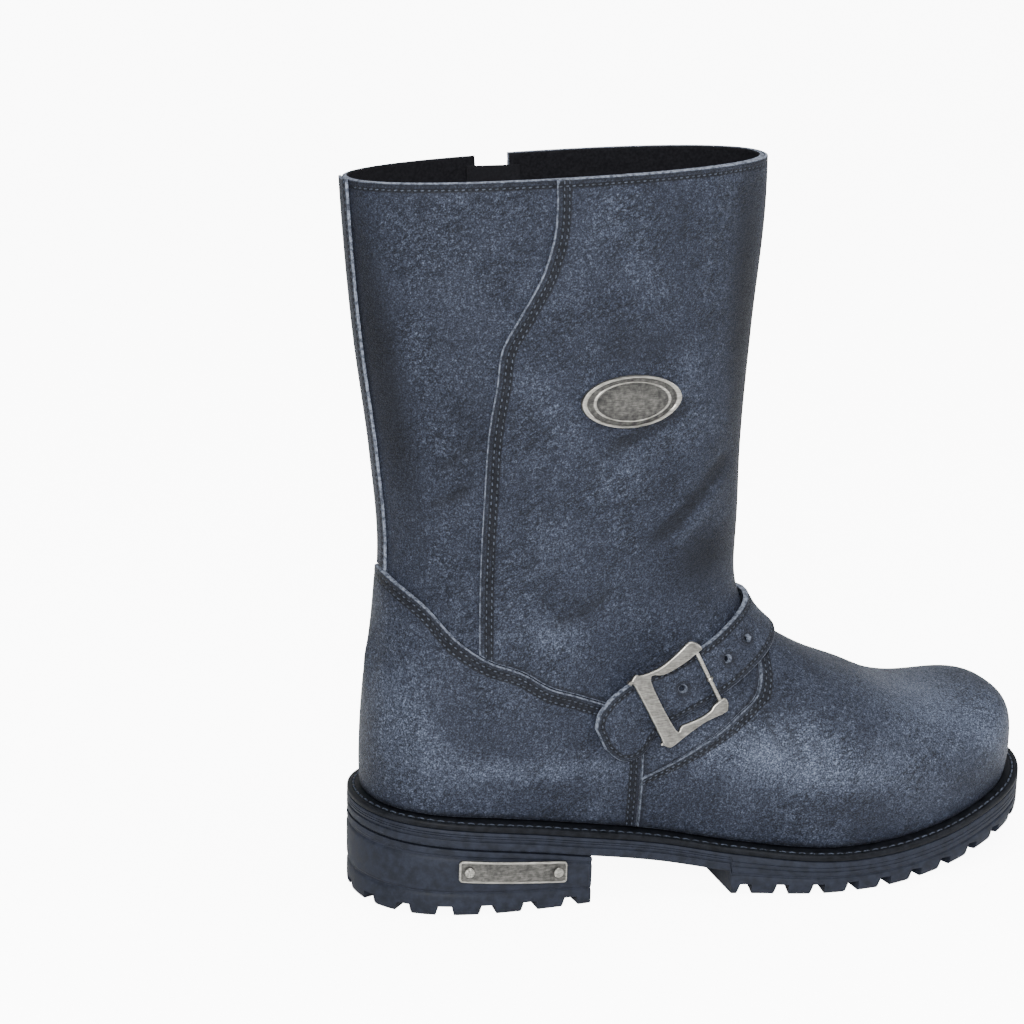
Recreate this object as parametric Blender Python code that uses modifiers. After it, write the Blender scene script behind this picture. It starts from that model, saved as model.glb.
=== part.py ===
"""Engineer boot for the right foot, standing empty on its sole.

Metres, +Z up.  X runs from heel to toe, -Y is the outer (lateral) side and +Y the inner
(medial) side.  The origin is on the floor under the middle of the heel block.

The upper is one smooth body: a foot form and a leg form, each read from a short table of
shares, blended at the instep.  Every leather piece is cut from that body at its own depth.
"""
import math

import bmesh
import bpy
import numpy as np
from mathutils import Matrix, Vector

MM = 0.001

# Driving sizes of the last and the upper
LAST_LENGTH = 298 * MM
LAST_BACK = -41 * MM
BALL_WIDTH = 100 * MM
HEEL_NOSE = 36 * MM
TOE_NOSE = 52 * MM
TOE_DEPTH = 38 * MM
INSTEP_HEIGHT = 82.5 * MM
FOOT_SPREAD = 1.03
SHAFT_HEIGHT = 308 * MM
COLLAR_DEPTH = 180 * MM
COLLAR_WIDTH = 72 * MM
COLLAR_RISE = 7 * MM
COUNTER_HEIGHT = 146 * MM
COUNTER_FRONT = 70 * MM
COUNTER_CORNER = 12 * MM
THROAT_BLEND = 30 * MM
ANKLE_BLEND = 6 * MM

# Heights of the sole under the foot
SEAT_HEIGHT = 43.5 * MM
BALL_STACK = 17.2 * MM
TOE_RISE = 18.5 * MM

# Leather: depths from the body's surface, outward positive
WALL = 2.4 * MM
UPPER_FACE = -1.2 * MM
CLEARANCE = 0.3 * MM
PANEL_THICKNESS = 1.2 * MM
VAMP_THICKNESS = 1.9 * MM
COUNTER_THICKNESS = 2.0 * MM
STAY_WIDTH = 11.5 * MM
SEAM_GAP = 0.45 * MM
EDGE_RISE = 0.6 * MM

# Zip on the inner side
SLOT_BEHIND = 5.5 * MM
SLOT_AHEAD = 6.0 * MM
SLOT_FLARE = 2.0 * MM
ZIP_FOOT = 93 * MM
CHAIN_WIDTH = 6.0 * MM
CHAIN_THICKNESS = 2.0 * MM
TAPE_WIDTH = 24 * MM
TAPE_THICKNESS = 0.8 * MM
TAPE_BELOW = 4 * MM
TAPE_DROP = 5 * MM
SLIDER_WIDTH = 9.0 * MM
SLIDER_LENGTH = 13.0 * MM
SLIDER_THICKNESS = 4.0 * MM
SLIDER_DROP = 14 * MM
BAIL_BAR = 1.5 * MM
BAIL_SPAN = 5.4 * MM
BAIL_HEIGHT = 2.7 * MM
BAIL_POST = 1.2 * MM
PULL_EYE = 4.2 * MM
PULL_EYE_WIDTH = 2.4 * MM
PULL_LENGTH = 27 * MM
PULL_WIDTH = 7.5 * MM
PULL_THICKNESS = 1.4 * MM
PULL_RIM = 1.5 * MM
PULL_CORNER = 2.0 * MM
PULL_NECK = 0.8 * MM

# Instep strap and its buckle
STRAP_WIDTH = 22.5 * MM
STRAP_THICKNESS = 2.4 * MM
STRAP_MIDDLE = (LAST_BACK + 0.48 * LAST_LENGTH, BALL_STACK + INSTEP_HEIGHT)
STRAP_SLOPE = math.radians(25)
STRAP_AXIS_BACK = 30 * MM
STRAP_REACH = 107 * MM
STRAP_ROOT = 98 * MM
HOLDER_THICKNESS = 1.2 * MM
BUCKLE_ARC = 69 * MM
BUCKLE_LENGTH = 32 * MM
BUCKLE_HEIGHT = 32 * MM
BUCKLE_THICKNESS = 2.4 * MM
BUCKLE_ROD = 1.8 * MM
BUCKLE_RING = 3.2 * MM
BUCKLE_RING_WIDTH = 1.6 * MM

# Plain metal plates
SHAFT_PLATE = (44 * MM, 22 * MM, 1.4 * MM)
SHAFT_PLATE_AT = (58 * MM, 217 * MM)
HEEL_PLATE = (45 * MM, 9.6 * MM, 1.2 * MM)
HEEL_PLATE_AT = (12.5 * MM, 18.6 * MM)
HEEL_PLATE_TILT = math.radians(-5.0)
SCREW_WIDTH = 4.4 * MM
SCREW_HEIGHT = 0.8 * MM
SCREW_INSET = 4.0 * MM

# Sole
WELT_WIDTH = 6.5 * MM
WELT_THICKNESS = 2.6 * MM
WELT_INSIDE = 9.5 * MM
PLATE_THICKNESS = 8.2 * MM
HEEL_BREAST = 46.5 * MM
TREAD_START = 108 * MM
TREAD_FLAT = 175 * MM
NOTCH_REACH = 13 * MM
TREAD_NOTCH_WIDTH = 7.0 * MM
TREAD_NOTCH_DEPTH = 4.6 * MM
TREAD_PITCH = 15.5 * MM
HEEL_NOTCH_WIDTH = 8.5 * MM
HEEL_NOTCH_DEPTH = 4.2 * MM
HEEL_PITCH = 18 * MM
INSOLE_THICKNESS = 4.5 * MM
FOOTBED_INSIDE = 7.2 * MM

# Spread of a section's rays along it over their spread across it, at the toe and in the shaft
TOE_SPREAD = 0.9
SHAFT_SPREAD = 1.55

# How finely the body is divided
AROUND = 30
TOE_RINGS = 7
TURN_RINGS = 8
SHAFT_RINGS = 7
SOLE_STATIONS = 22


def table(columns, *rows):
    """Name a table's columns."""
    return {name: np.array(column, float) for name, column in zip(columns.split(), zip(*rows))}


# Last outline: station along the last, half width and sideways shift as shares of half the ball
PLAN = table("station half shift",
             (0.00, 0.000, 0.00), (0.12, 0.715, 0.00), (0.25, 0.725, -0.01), (0.40, 0.650, -0.05),
             (0.52, 0.775, -0.07), (0.64, 0.970, -0.05), (0.73, 1.000, 0.00), (0.83, 0.960, 0.07),
             (0.92, 0.800, 0.12), (1.00, 0.000, 0.14))

# Top of the welt: share of the seat's height over the ball, and share of the toe's rise
FEATHER = table("station seat toe",
                (-0.03, 1.02, 0.00), (0.10, 0.90, 0.00), (0.20, 0.77, 0.00), (0.30, 0.57, 0.00),
                (0.40, 0.36, 0.00), (0.50, 0.16, 0.00), (0.61, 0.03, 0.00), (0.72, 0.00, 0.00),
                (0.83, 0.00, 0.20), (0.93, 0.00, 0.60), (1.00, 0.00, 0.92), (1.03, 0.00, 1.06))

# Ridge of the foot: height over the welt as a share of the instep, and roundness of the section
RIDGE = table("station height power",
              (0.00, 0.72, 2.00), (0.02, 0.95, 2.00), (0.06, 1.13, 2.00), (0.20, 1.42, 2.00),
              (0.34, 1.33, 2.00), (0.41, 1.20, 2.00), (0.47, 1.09, 2.05), (0.56, 1.00, 2.10),
              (0.64, 0.93, 2.20), (0.73, 0.80, 2.30), (0.81, 0.64, 2.40), (0.89, 0.54, 2.50),
              (1.00, 0.55, 2.60))

# Leg: height as a share of the shaft; back, widest place and front as shares of the collar's
# depth from the origin; half width as a share of the collar's width
LEG = table("height back widest front half",
            (0.08, -0.206, 0.00, 0.333, 0.450), (0.15, -0.228, 0.00, 0.367, 0.485),
            (0.21, -0.230, 0.01, 0.400, 0.500), (0.29, -0.224, 0.05, 0.590, 0.500),
            (0.39, -0.207, 0.16, 0.655, 0.507), (0.49, -0.200, 0.23, 0.665, 0.520),
            (0.62, -0.223, 0.25, 0.664, 0.535), (0.78, -0.265, 0.25, 0.678, 0.535),
            (0.94, -0.295, 0.23, 0.700, 0.514), (1.10, -0.315, 0.23, 0.697, 0.494))

# Seams in the side view.  Counter: top edge along the last.  Vamp: rear edge by height.
COUNTER_TOP = table("station height",
                    (0.00, 1.000), (0.03, 0.950), (0.06, 0.900), (0.10, 0.808), (0.14, 0.750),
                    (0.19, 0.710), (0.23, 0.660), (0.27, 0.630), (0.32, 0.590), (0.37, 0.548))
VAMP_EDGE = table("height reach",
                  (0.16, 0.355), (0.18, 0.400), (0.21, 0.453), (0.23, 0.483), (0.257, 0.518),
                  (0.273, 0.539), (0.292, 0.550), (0.32, 0.555), (0.42, 0.558))
SIDE_SEAM = table("height reach",
                  (0.30, -0.012), (0.43, -0.014), (0.58, -0.010), (0.67, -0.004), (0.73, 0.010),
                  (0.78, 0.021), (0.82, 0.057), (0.875, 0.107), (0.915, 0.128), (1.02, 0.135))
ZIP_LINE = table("height reach",
                 (0.25, 0.272), (0.36, 0.256), (0.42, 0.242), (0.50, 0.231), (0.57, 0.225),
                 (0.69, 0.225), (0.75, 0.217), (0.80, 0.203), (0.86, 0.172), (0.90, 0.142),
                 (0.95, 0.111), (1.02, 0.097))

# Strap outline by its arc from the front: edges as shares of the strap's width
STRAP_OUTER = table("arc low high",
                    (0.00, -0.46, 0.50), (0.42, -0.50, 0.50), (0.66, -0.50, 0.52),
                    (0.78, -0.54, 0.60), (0.85, -0.76, 0.58), (0.93, -0.78, 0.46),
                    (0.975, -0.62, 0.32), (1.00, -0.34, 0.14))
STRAP_INNER = table("arc low high",
                    (0.00, -0.46, 0.50), (0.46, -0.46, 0.42), (0.70, -0.66, 0.36),
                    (0.90, -0.95, 0.34), (1.00, -1.02, 0.34))
# Depth of the strap's underside by its arc on the outer side, as shares of its full lift
STRAP_LIFT = table("arc lift",
                   (0.00, 0.2), (0.26, 0.2), (0.46, 1.0), (0.80, 1.0), (0.92, 0.1), (1.00, 0.1))

# Buckle outline as shares of its length toward the toe and of its height downward: over the
# upper bar, back under it to the wide bar, along the lower bar to its end and back below it
BUCKLE_OUTLINE = table("along down",
                       (-0.05, 0.05), (0.07, -0.03), (0.16, 0.02), (0.42, 0.05), (0.70, 0.00),
                       (0.90, -0.05), (1.00, 0.02), (1.03, 0.12), (0.94, 0.14), (0.77, 0.17),
                       (0.58, 0.18), (0.41, 0.17), (0.23, 0.145), (0.235, 0.90), (0.33, 0.90),
                       (0.57, 0.935), (0.75, 0.925), (0.84, 0.88), (1.00, 0.865), (1.03, 0.93),
                       (1.00, 1.01), (0.93, 1.055), (0.66, 1.03), (0.44, 1.045), (0.28, 1.065),
                       (0.085, 1.09), (0.01, 1.03), (-0.02, 0.97), (0.01, 0.90), (0.00, 0.10))
BUCKLE_ROD_ALONG = 0.945
BUCKLE_ROD_ENDS = (0.10, 0.90)
BUCKLE_RING_DOWN = 0.54

# Side of the sole: height through the layer and how far it is set in
OUTSOLE_SIDE = ((0.00, 0.9), (0.10, 0.2), (0.46, 0.0), (0.52, 0.6), (0.58, 0.0), (1.00, 0.0))
HEEL_SIDE = ((0.00, 1.0), (0.05, 0.3), (0.30, 0.3), (0.34, 0.9), (0.38, 0.2), (0.84, 0.0),
             (0.88, 0.7), (0.92, 0.0), (1.00, 0.0))
WELT_SIDE = ((0.00, 0.0), (0.72, 0.0), (1.00, 0.7))


def curve(rows, column, at):
    """Read a smooth curve through a table's column, held level past both ends."""
    names = list(rows)
    stations, values = rows[names[0]], rows[column]
    slopes = np.gradient(values, stations)
    at = np.clip(at, stations[0], stations[-1])
    row = np.clip(np.searchsorted(stations, at) - 1, 0, len(stations) - 2)
    span = stations[row + 1] - stations[row]
    t = (at - stations[row]) / span
    return (values[row] * (1 + 2 * t) * (1 - t) ** 2 + slopes[row] * span * t * (1 - t) ** 2
            + values[row + 1] * t * t * (3 - 2 * t)
            + slopes[row + 1] * span * t * t * (t - 1))


def smooth_step(t):
    """Ease from 0 to 1."""
    t = np.clip(t, 0, 1)
    return t * t * (3 - 2 * t)


def blend(a, b, reach):
    """The lesser of two fields, rounded where they meet."""
    share = np.clip(0.5 + 0.5 * (b - a) / reach, 0, 1)
    return b * (1 - share) + a * share - reach * share * (1 - share)


# The body of the upper

FIELD_SCALE = 0.45 * BALL_WIDTH
RAY_LIMIT = 0.6 * LAST_LENGTH


def station(x):
    """Share of the last's length at x."""
    return (x - LAST_BACK) / LAST_LENGTH


def plan(s):
    """Half width and middle of the last's outline at a station."""
    s = np.clip(s, 1e-9, 1 - 1e-9)
    arch = 2 * np.sqrt(s * (1 - s))
    half_ball = BALL_WIDTH / 2
    inner = PLAN["station"][1:-1]
    fullness = PLAN["half"].copy()
    fullness[1:-1] *= half_ball / (2 * np.sqrt(inner * (1 - inner)))
    fullness[0] = math.sqrt(HEEL_NOSE * LAST_LENGTH / 2)
    fullness[-1] = math.sqrt(TOE_NOSE * LAST_LENGTH / 2)
    rows = {"station": PLAN["station"], "fullness": fullness}
    return curve(rows, "fullness", s) * arch, curve(PLAN, "shift", s) * half_ball


def welt_top(x):
    """Height of the welt's top, on which the upper stands."""
    s = station(x)
    return (BALL_STACK + (SEAT_HEIGHT - BALL_STACK) * curve(FEATHER, "seat", s)
            + TOE_RISE * curve(FEATHER, "toe", s))


def ridge(x):
    """Height of the foot form's top."""
    return welt_top(x) + INSTEP_HEIGHT * curve(RIDGE, "height", station(x))


def foot_field(x, y, z):
    """Below zero inside the foot form."""
    s = station(x)
    half, middle = plan(s)
    under_leg = smooth_step((s - 0.017) / 0.2)
    half = half * FOOT_SPREAD * (0.7 + 0.3 * under_leg)
    nose = np.clip((s - 1) * LAST_LENGTH / TOE_DEPTH + 1, 0, 1)
    closing = np.maximum(1 - nose ** 2.3, 1e-9) ** (1 / 2.3)
    low, high = welt_top(x), ridge(x)
    power = curve(RIDGE, "power", s)
    waist = low + 0.36 * (high - low)
    above = (high - waist) * closing
    below = (waist - low) * 2.3 * closing
    reach = np.where(z > waist, above, below)
    section = (np.abs(y - middle) / np.maximum(half, 1e-6)) ** power
    section = (section + (np.abs(z - waist) / np.maximum(reach, 1e-6)) ** power) ** (1 / power)
    outside = (s <= 0) | (s >= 1)
    return np.where(outside, FIELD_SCALE * 1.4, (section - 1) * FIELD_SCALE)


def leg_field(x, y, z):
    """Below zero inside the leg form."""
    share = z / SHAFT_HEIGHT
    back = curve(LEG, "back", share) * COLLAR_DEPTH
    widest = curve(LEG, "widest", share) * COLLAR_DEPTH
    front = curve(LEG, "front", share) * COLLAR_DEPTH
    half = curve(LEG, "half", share) * COLLAR_WIDTH
    reach = np.where(x > widest, front - widest, widest - back)
    roundness = 2.25
    section = (np.abs(x - widest) / reach) ** roundness + (np.abs(y) / half) ** roundness
    return (section ** (1 / roundness) - 1) * FIELD_SCALE


def body(x, y, z):
    """Below zero inside the whole upper: the foot and the leg blended."""
    throat = smooth_step((station(x) - 0.34) / 0.134)
    reach = ANKLE_BLEND + (THROAT_BLEND - ANKLE_BLEND) * throat
    return blend(foot_field(x, y, z), leg_field(x, y, z), reach)


def outward(points):
    """Unit normals of the body's surface at points on it."""
    step = 0.2 * MM
    x, y, z = points[:, 0], points[:, 1], points[:, 2]
    slope = np.stack([body(x + step, y, z) - body(x - step, y, z),
                      body(x, y + step, z) - body(x, y - step, z),
                      body(x, y, z + step) - body(x, y, z - step)], 1)
    return slope / np.linalg.norm(slope, axis=1, keepdims=True)


def reach_skin(origins, directions):
    """Where rays from inside the body meet its surface."""
    near = np.zeros(origins.shape[:-1])
    far = np.full(origins.shape[:-1], RAY_LIMIT)
    for _ in range(36):
        middle = (near + far) / 2
        at = origins + directions * middle[..., None]
        inside = body(at[..., 0], at[..., 1], at[..., 2]) < 0
        near = np.where(inside, middle, near)
        far = np.where(inside, far, middle)
    return origins + directions * near[..., None]


def side_point(x, z, side):
    """The point of the surface at x and z on the outer (-1) or inner (+1) side."""
    x, z = np.broadcast_arrays(np.asarray(x, float), np.asarray(z, float))
    origins = np.stack([x, 0 * x, z], -1)
    directions = np.zeros_like(origins)
    directions[..., 1] = side
    return reach_skin(origins, directions)


def ring_planes():
    """Origin, direction and spread of each section from the toe round the instep to the collar."""
    pivot_x, pivot_z = LAST_BACK + 0.58 * LAST_LENGTH, 0.56 * SHAFT_HEIGHT
    toe = LAST_BACK + LAST_LENGTH - 0.6 * MM
    planes = []
    for i in range(TOE_RINGS):
        turn = (i + 0.35) / TOE_RINGS * math.pi / 2
        x = toe - (toe - pivot_x) * (1 - math.cos(turn))
        z = welt_top(x) + 0.4 * (ridge(x) - welt_top(x))
        planes.append(((x, z), (0, -1), TOE_SPREAD))
    floor = welt_top(pivot_x) + 0.4 * (ridge(pivot_x) - welt_top(pivot_x))
    share = pivot_z / SHAFT_HEIGHT
    axis = (curve(LEG, "back", share) + curve(LEG, "front", share)) / 2 * COLLAR_DEPTH
    for i in range(TURN_RINGS + 1):
        t = i / TURN_RINGS
        turn = t * math.pi / 2
        reach = (pivot_z - floor) * (1 - t) + (pivot_x - axis) * t
        way = (-math.sin(turn), -math.cos(turn))
        spread = TOE_SPREAD + (SHAFT_SPREAD - TOE_SPREAD) * t
        planes.append(((pivot_x + way[0] * reach, pivot_z + way[1] * reach), way, spread))
    for i in range(1, SHAFT_RINGS + 1):
        t = i / SHAFT_RINGS
        z = pivot_z + (SHAFT_HEIGHT - pivot_z) * t
        share = z / SHAFT_HEIGHT
        axis = (curve(LEG, "back", share) + curve(LEG, "front", share)) / 2 * COLLAR_DEPTH
        tilt = math.atan(COLLAR_RISE / COLLAR_DEPTH) * smooth_step(t)
        planes.append(((axis, z), (-math.cos(tilt), -math.sin(tilt)), SHAFT_SPREAD))
    return planes


class Skin:
    """A patch of the body's surface: points and the faces between them."""

    def __init__(self, points, faces):
        self.points = np.asarray(points, float)
        self.faces = faces

    def split(self, values):
        """Add edges where values, one for each point, pass zero; returns the new values."""
        values = np.where(np.abs(values) < 0.04 * MM, 0.0, values)
        points, marks, crossings, faces = list(self.points), list(values), {}, []

        def crossing(a, b):
            key = (min(a, b), max(a, b))
            if key not in crossings:
                share = marks[a] / (marks[a] - marks[b])
                crossings[key] = len(points)
                points.append(points[a] + (points[b] - points[a]) * share)
                marks.append(0.0)
            return crossings[key]

        for face in self.faces:
            loop = []
            for a, b in zip(face, face[1:] + face[:1]):
                loop.append(a)
                if marks[a] * marks[b] < 0:
                    loop.append(crossing(a, b))
            signs = {np.sign(marks[i]) for i in loop}
            if signs >= {1.0, -1.0}:
                first, last = [k for k, i in enumerate(loop) if marks[i] == 0]
                faces.append(loop[first:last + 1])
                faces.append(loop[last:] + loop[:first + 1])
            else:
                faces.append(loop)
        return Skin(points, faces), np.array(marks)

    def keep(self, chosen):
        """Keep the chosen faces and the points that they use."""
        faces = [face for face, wanted in zip(self.faces, chosen) if wanted]
        used = sorted({i for face in faces for i in face})
        place = {i: k for k, i in enumerate(used)}
        return Skin(self.points[used], [[place[i] for i in face] for face in faces])

    def cut(self, field):
        """Keep what lies where the field is above zero."""
        parts, marks = self.split(field(self.points))
        return parts.keep([max(marks[face]) > 0 for face in parts.faces])

    def without(self, *fields):
        """Take away what lies where every field is above zero."""
        parts = self
        for field in fields:
            parts, _ = parts.split(field(parts.points))
        middles = np.array([parts.points[face].mean(0) for face in parts.faces])
        hole = np.all([field(middles) > 0 for field in fields], axis=0)
        return parts.keep(~hole)


def whole_skin():
    """The body's surface from the toe to the collar, in triangles."""
    planes = ring_planes()
    angle = np.arange(AROUND) / AROUND * 2 * math.pi
    origin = np.array([[p[0][0], 0, p[0][1]] for p in planes])[:, None, :]
    way = np.array([[p[1][0], 0, p[1][1]] for p in planes])[:, None, :]
    along = np.cos(angle)[None, :] * np.array([p[2] for p in planes])[:, None]
    across = np.sin(angle)[None, :]
    size = np.hypot(along, across)
    directions = way * (along / size)[..., None]
    directions[..., 1] += across / size
    rings = reach_skin(np.broadcast_to(origin, directions.shape), directions)
    tip = rings[0].mean(0)
    tip[0] = LAST_BACK + LAST_LENGTH - 0.1 * MM
    points = np.vstack([rings.reshape(-1, 3), tip])
    faces = []
    for i in range(len(planes) - 1):
        for j in range(AROUND):
            k = (j + 1) % AROUND
            a, b, c, d = i * AROUND + j, i * AROUND + k, (i + 1) * AROUND + k, (i + 1) * AROUND + j
            if j < AROUND // 2:
                faces += [[a, b, c], [a, c, d]]
            else:
                faces += [[a, b, d], [b, c, d]]
    centre = len(points) - 1
    faces += [[centre, (j + 1) % AROUND, j] for j in range(AROUND)]
    return Skin(points, faces)


# Seam lines as fields, in metres from the line

def counter_field(points):
    """Above zero inside the counter: under its top edge and behind its front edge."""
    x, z = points[:, 0], points[:, 2]
    top = curve(COUNTER_TOP, "height", station(x)) * COUNTER_HEIGHT
    return blend((top - z) * 0.88, COUNTER_FRONT - x, COUNTER_CORNER)


def vamp_field(points):
    """Above zero ahead of the vamp's rear edge."""
    x, z = points[:, 0], points[:, 2]
    edge = LAST_BACK + curve(VAMP_EDGE, "reach", z / SHAFT_HEIGHT) * LAST_LENGTH
    slope = np.where(z < 0.28 * SHAFT_HEIGHT, 0.5, 0.9)
    return np.minimum((x - edge) * slope, VAMP_EDGE["height"][-1] * SHAFT_HEIGHT - z)


def zip_x(z):
    """Where the zip's middle runs at a height."""
    return curve(ZIP_LINE, "reach", z / SHAFT_HEIGHT) * COLLAR_DEPTH


def seam_field(points):
    """Above zero ahead of the shaft's side seam, and ahead of the zip on the inner side."""
    x, y, z = points[:, 0], points[:, 1], points[:, 2]
    seam = curve(SIDE_SEAM, "reach", z / SHAFT_HEIGHT) * COLLAR_DEPTH
    return np.where(y < 0, x - seam, x - zip_x(z) - SLOT_AHEAD - slot_flare(z))


def floor_field(points):
    """Above zero over the welt."""
    return points[:, 2] - welt_top(points[:, 0]) - CLEARANCE


def shifted(field, amount, sign=1):
    """A field moved by an amount, or turned round."""
    return lambda points: sign * field(points) - amount


def slot_flare(z):
    """How much wider the slot's sides stand toward the collar."""
    return SLOT_FLARE * smooth_step((z / SHAFT_HEIGHT - 0.9) / 0.1)


def slot_fields():
    """The zip's slot on the inner side, open at the collar."""
    return (lambda p: p[:, 0] - zip_x(p[:, 2]) + SLOT_BEHIND + slot_flare(p[:, 2]),
            lambda p: zip_x(p[:, 2]) + SLOT_AHEAD + slot_flare(p[:, 2]) - p[:, 0],
            lambda p: p[:, 2] - ZIP_FOOT,
            lambda p: p[:, 1])


# Making objects

MATERIALS = {
    "leather": ((0.085, 0.095, 0.13), 0.55, 0.0),
    "rubber": ((0.035, 0.042, 0.065), 0.6, 0.0),
    "welt": ((0.018, 0.02, 0.028), 0.6, 0.0),
    "insole": ((0.05, 0.045, 0.045), 0.8, 0.0),
    "pewter": ((0.42, 0.41, 0.38), 0.38, 1.0),
    "nickel": ((0.6, 0.6, 0.6), 0.25, 1.0),
    "zip_tape": ((0.012, 0.012, 0.014), 0.9, 0.0),
}


def material(name):
    """A Principled material made once for each finish."""
    if name in bpy.data.materials:
        return bpy.data.materials[name]
    colour, roughness, metallic = MATERIALS[name]
    finish = bpy.data.materials.new(name)
    finish.use_nodes = True
    shader = finish.node_tree.nodes["Principled BSDF"]
    shader.inputs["Base Color"].default_value = (*colour, 1)
    shader.inputs["Roughness"].default_value = roughness
    shader.inputs["Metallic"].default_value = metallic
    return finish


def collection(name):
    """A collection in the scene, made once."""
    if name not in bpy.data.collections:
        bpy.context.scene.collection.children.link(bpy.data.collections.new(name))
    return bpy.data.collections[name]


def mesh_object(name, points, faces, finish, smooth=True):
    """An object from points and faces."""
    mesh = bpy.data.meshes.new(name)
    mesh.from_pydata([tuple(p) for p in points], [], [tuple(f) for f in faces])
    mesh.update()
    piece = bpy.data.objects.new(name, mesh)
    collection("engineer_boot").objects.link(piece)
    mesh.materials.append(material(finish))
    if smooth:
        mesh.shade_smooth()
        mesh.set_sharp_from_angle(angle=math.radians(40))
    return piece


def cutter_object(name, bm):
    """A cutting shape, kept out of the model."""
    mesh = bpy.data.meshes.new(name)
    bm.to_mesh(mesh)
    bm.free()
    tool = bpy.data.objects.new(name, mesh)
    collection("cutters").objects.link(tool)
    tool.display_type = "WIRE"
    tool.hide_render = True
    return tool


def combine(piece, tool, operation):
    """Cut or join one object by another."""
    step = piece.modifiers.new(tool.name, "BOOLEAN")
    step.operation = operation
    step.object = tool


def face_outward(skin):
    """Turn the faces so that they look away from the inside of the body."""
    first = skin.points[skin.faces[0]]
    normal = np.cross(first[1] - first[0], first[2] - first[0])
    if normal @ outward(first.mean(0, keepdims=True))[0] < 0:
        return [face[::-1] for face in skin.faces]
    return skin.faces


def leather(name, skin, depth, thickness, inward=False, finish="leather"):
    """A piece of leather: a patch of the body at a depth, given its thickness by Solidify."""
    points = skin.points + outward(skin.points) * np.reshape(depth, (-1, 1))
    piece = mesh_object(name, points, face_outward(skin), finish)
    shell = piece.modifiers.new("thickness", "SOLIDIFY")
    shell.thickness = thickness
    shell.offset = -1 if inward else 1
    shell.use_quality_normals = True
    return piece


def make_uppers():
    """The upper with its zip slot, and the leather laid over it."""
    skin = whole_skin().cut(floor_field)
    leather("upper", skin.without(*slot_fields()), UPPER_FACE, WALL, inward=True)
    face = UPPER_FACE + CLEARANCE
    skin = skin.cut(shifted(floor_field, EDGE_RISE))
    around = skin.cut(shifted(counter_field, SEAM_GAP / 2, -1))
    front = around.cut(shifted(vamp_field, SEAM_GAP / 2))
    leather("vamp", front, face, VAMP_THICKNESS)
    counter = skin.cut(shifted(counter_field, SEAM_GAP / 2))
    leather("counter", counter.without(*slot_fields()), face, COUNTER_THICKNESS)
    shaft = around.cut(shifted(vamp_field, SEAM_GAP / 2, -1)).cut(seam_field)
    leather("shaft_front_panel", shaft, face, PANEL_THICKNESS)
    stay = around.cut(lambda p: STAY_WIDTH / 2 - np.abs(p[:, 1])).cut(lambda p: -p[:, 0])
    leather("back_stay", stay, face, PANEL_THICKNESS)


# Strap

def strap_grid(arcs, low, high, rows):
    """Points of the surface on a band round the instep: arcs from the front, edges along it."""
    ahead = np.array([math.cos(STRAP_SLOPE), 0, math.sin(STRAP_SLOPE)])
    up = np.array([-math.sin(STRAP_SLOPE), 0, math.cos(STRAP_SLOPE)])
    axis = np.array([STRAP_MIDDLE[0], 0, STRAP_MIDDLE[1]]) - ahead * STRAP_AXIS_BACK
    turns = np.radians(np.linspace(-168, 168, 337))
    ways = ahead * np.cos(turns)[:, None] - np.array([0, 1, 0]) * np.sin(turns)[:, None]
    line = reach_skin(np.broadcast_to(axis, ways.shape), ways)
    length = np.r_[0, np.cumsum(np.linalg.norm(np.diff(line, axis=0), axis=1))]
    length -= length[len(turns) // 2]
    turn = np.interp(arcs, length, turns)
    t = np.linspace(0, 1, rows)[None, :]
    across = low[:, None] * (1 - t) + high[:, None] * t
    origins = axis + up * across[..., None]
    ways = ahead * np.cos(turn)[:, None] - np.array([0, 1, 0]) * np.sin(turn)[:, None]
    ways = np.broadcast_to(ways[:, None, :], origins.shape)
    return reach_skin(origins, ways)


def grid_skin(grid):
    """A patch from a grid of points."""
    rows, columns = grid.shape[:2]
    faces = []
    for i in range(rows - 1):
        for j in range(columns - 1):
            a = i * columns + j
            faces += [[a, a + 1, a + columns + 1], [a, a + columns + 1, a + columns]]
    return Skin(grid.reshape(-1, 3), faces)


def strap_levels(points):
    """Depth of the strap's underside: it climbs over its holder at the buckle."""
    base = UPPER_FACE + CLEARANCE + VAMP_THICKNESS + 3 * CLEARANCE
    arc = strap_arc(points)
    climb = HOLDER_THICKNESS + 2 * CLEARANCE
    return base + climb * curve(STRAP_LIFT, "lift", arc / STRAP_REACH)


def strap_arc(points):
    """Rough arc from the front to points of the outer side, zero on the inner side."""
    ahead = points[:, 0] * math.cos(STRAP_SLOPE) + points[:, 2] * math.sin(STRAP_SLOPE)
    front = STRAP_MIDDLE[0] * math.cos(STRAP_SLOPE) + STRAP_MIDDLE[1] * math.sin(STRAP_SLOPE)
    return np.where(points[:, 1] < 0, 0.42 * STRAP_REACH + front - ahead, 0)


def strap_band():
    """The strap's grid from its root on the inner side to its tip on the outer side."""
    front = np.linspace(0.0, 0.3, 6)
    outer = np.r_[front[1:], np.linspace(0.3, 0.8, 6)[1:], STRAP_OUTER["arc"][4:]] * STRAP_REACH
    inner = np.r_[np.linspace(1.0, 0.3, 7), front[-2::-1]] * STRAP_ROOT
    low = np.r_[curve(STRAP_INNER, "low", inner / STRAP_ROOT),
                curve(STRAP_OUTER, "low", outer / STRAP_REACH)] * STRAP_WIDTH
    high = np.r_[curve(STRAP_INNER, "high", inner / STRAP_ROOT),
                 curve(STRAP_OUTER, "high", outer / STRAP_REACH)] * STRAP_WIDTH
    return strap_grid(np.r_[-inner, outer], low, high, 4)


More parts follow.
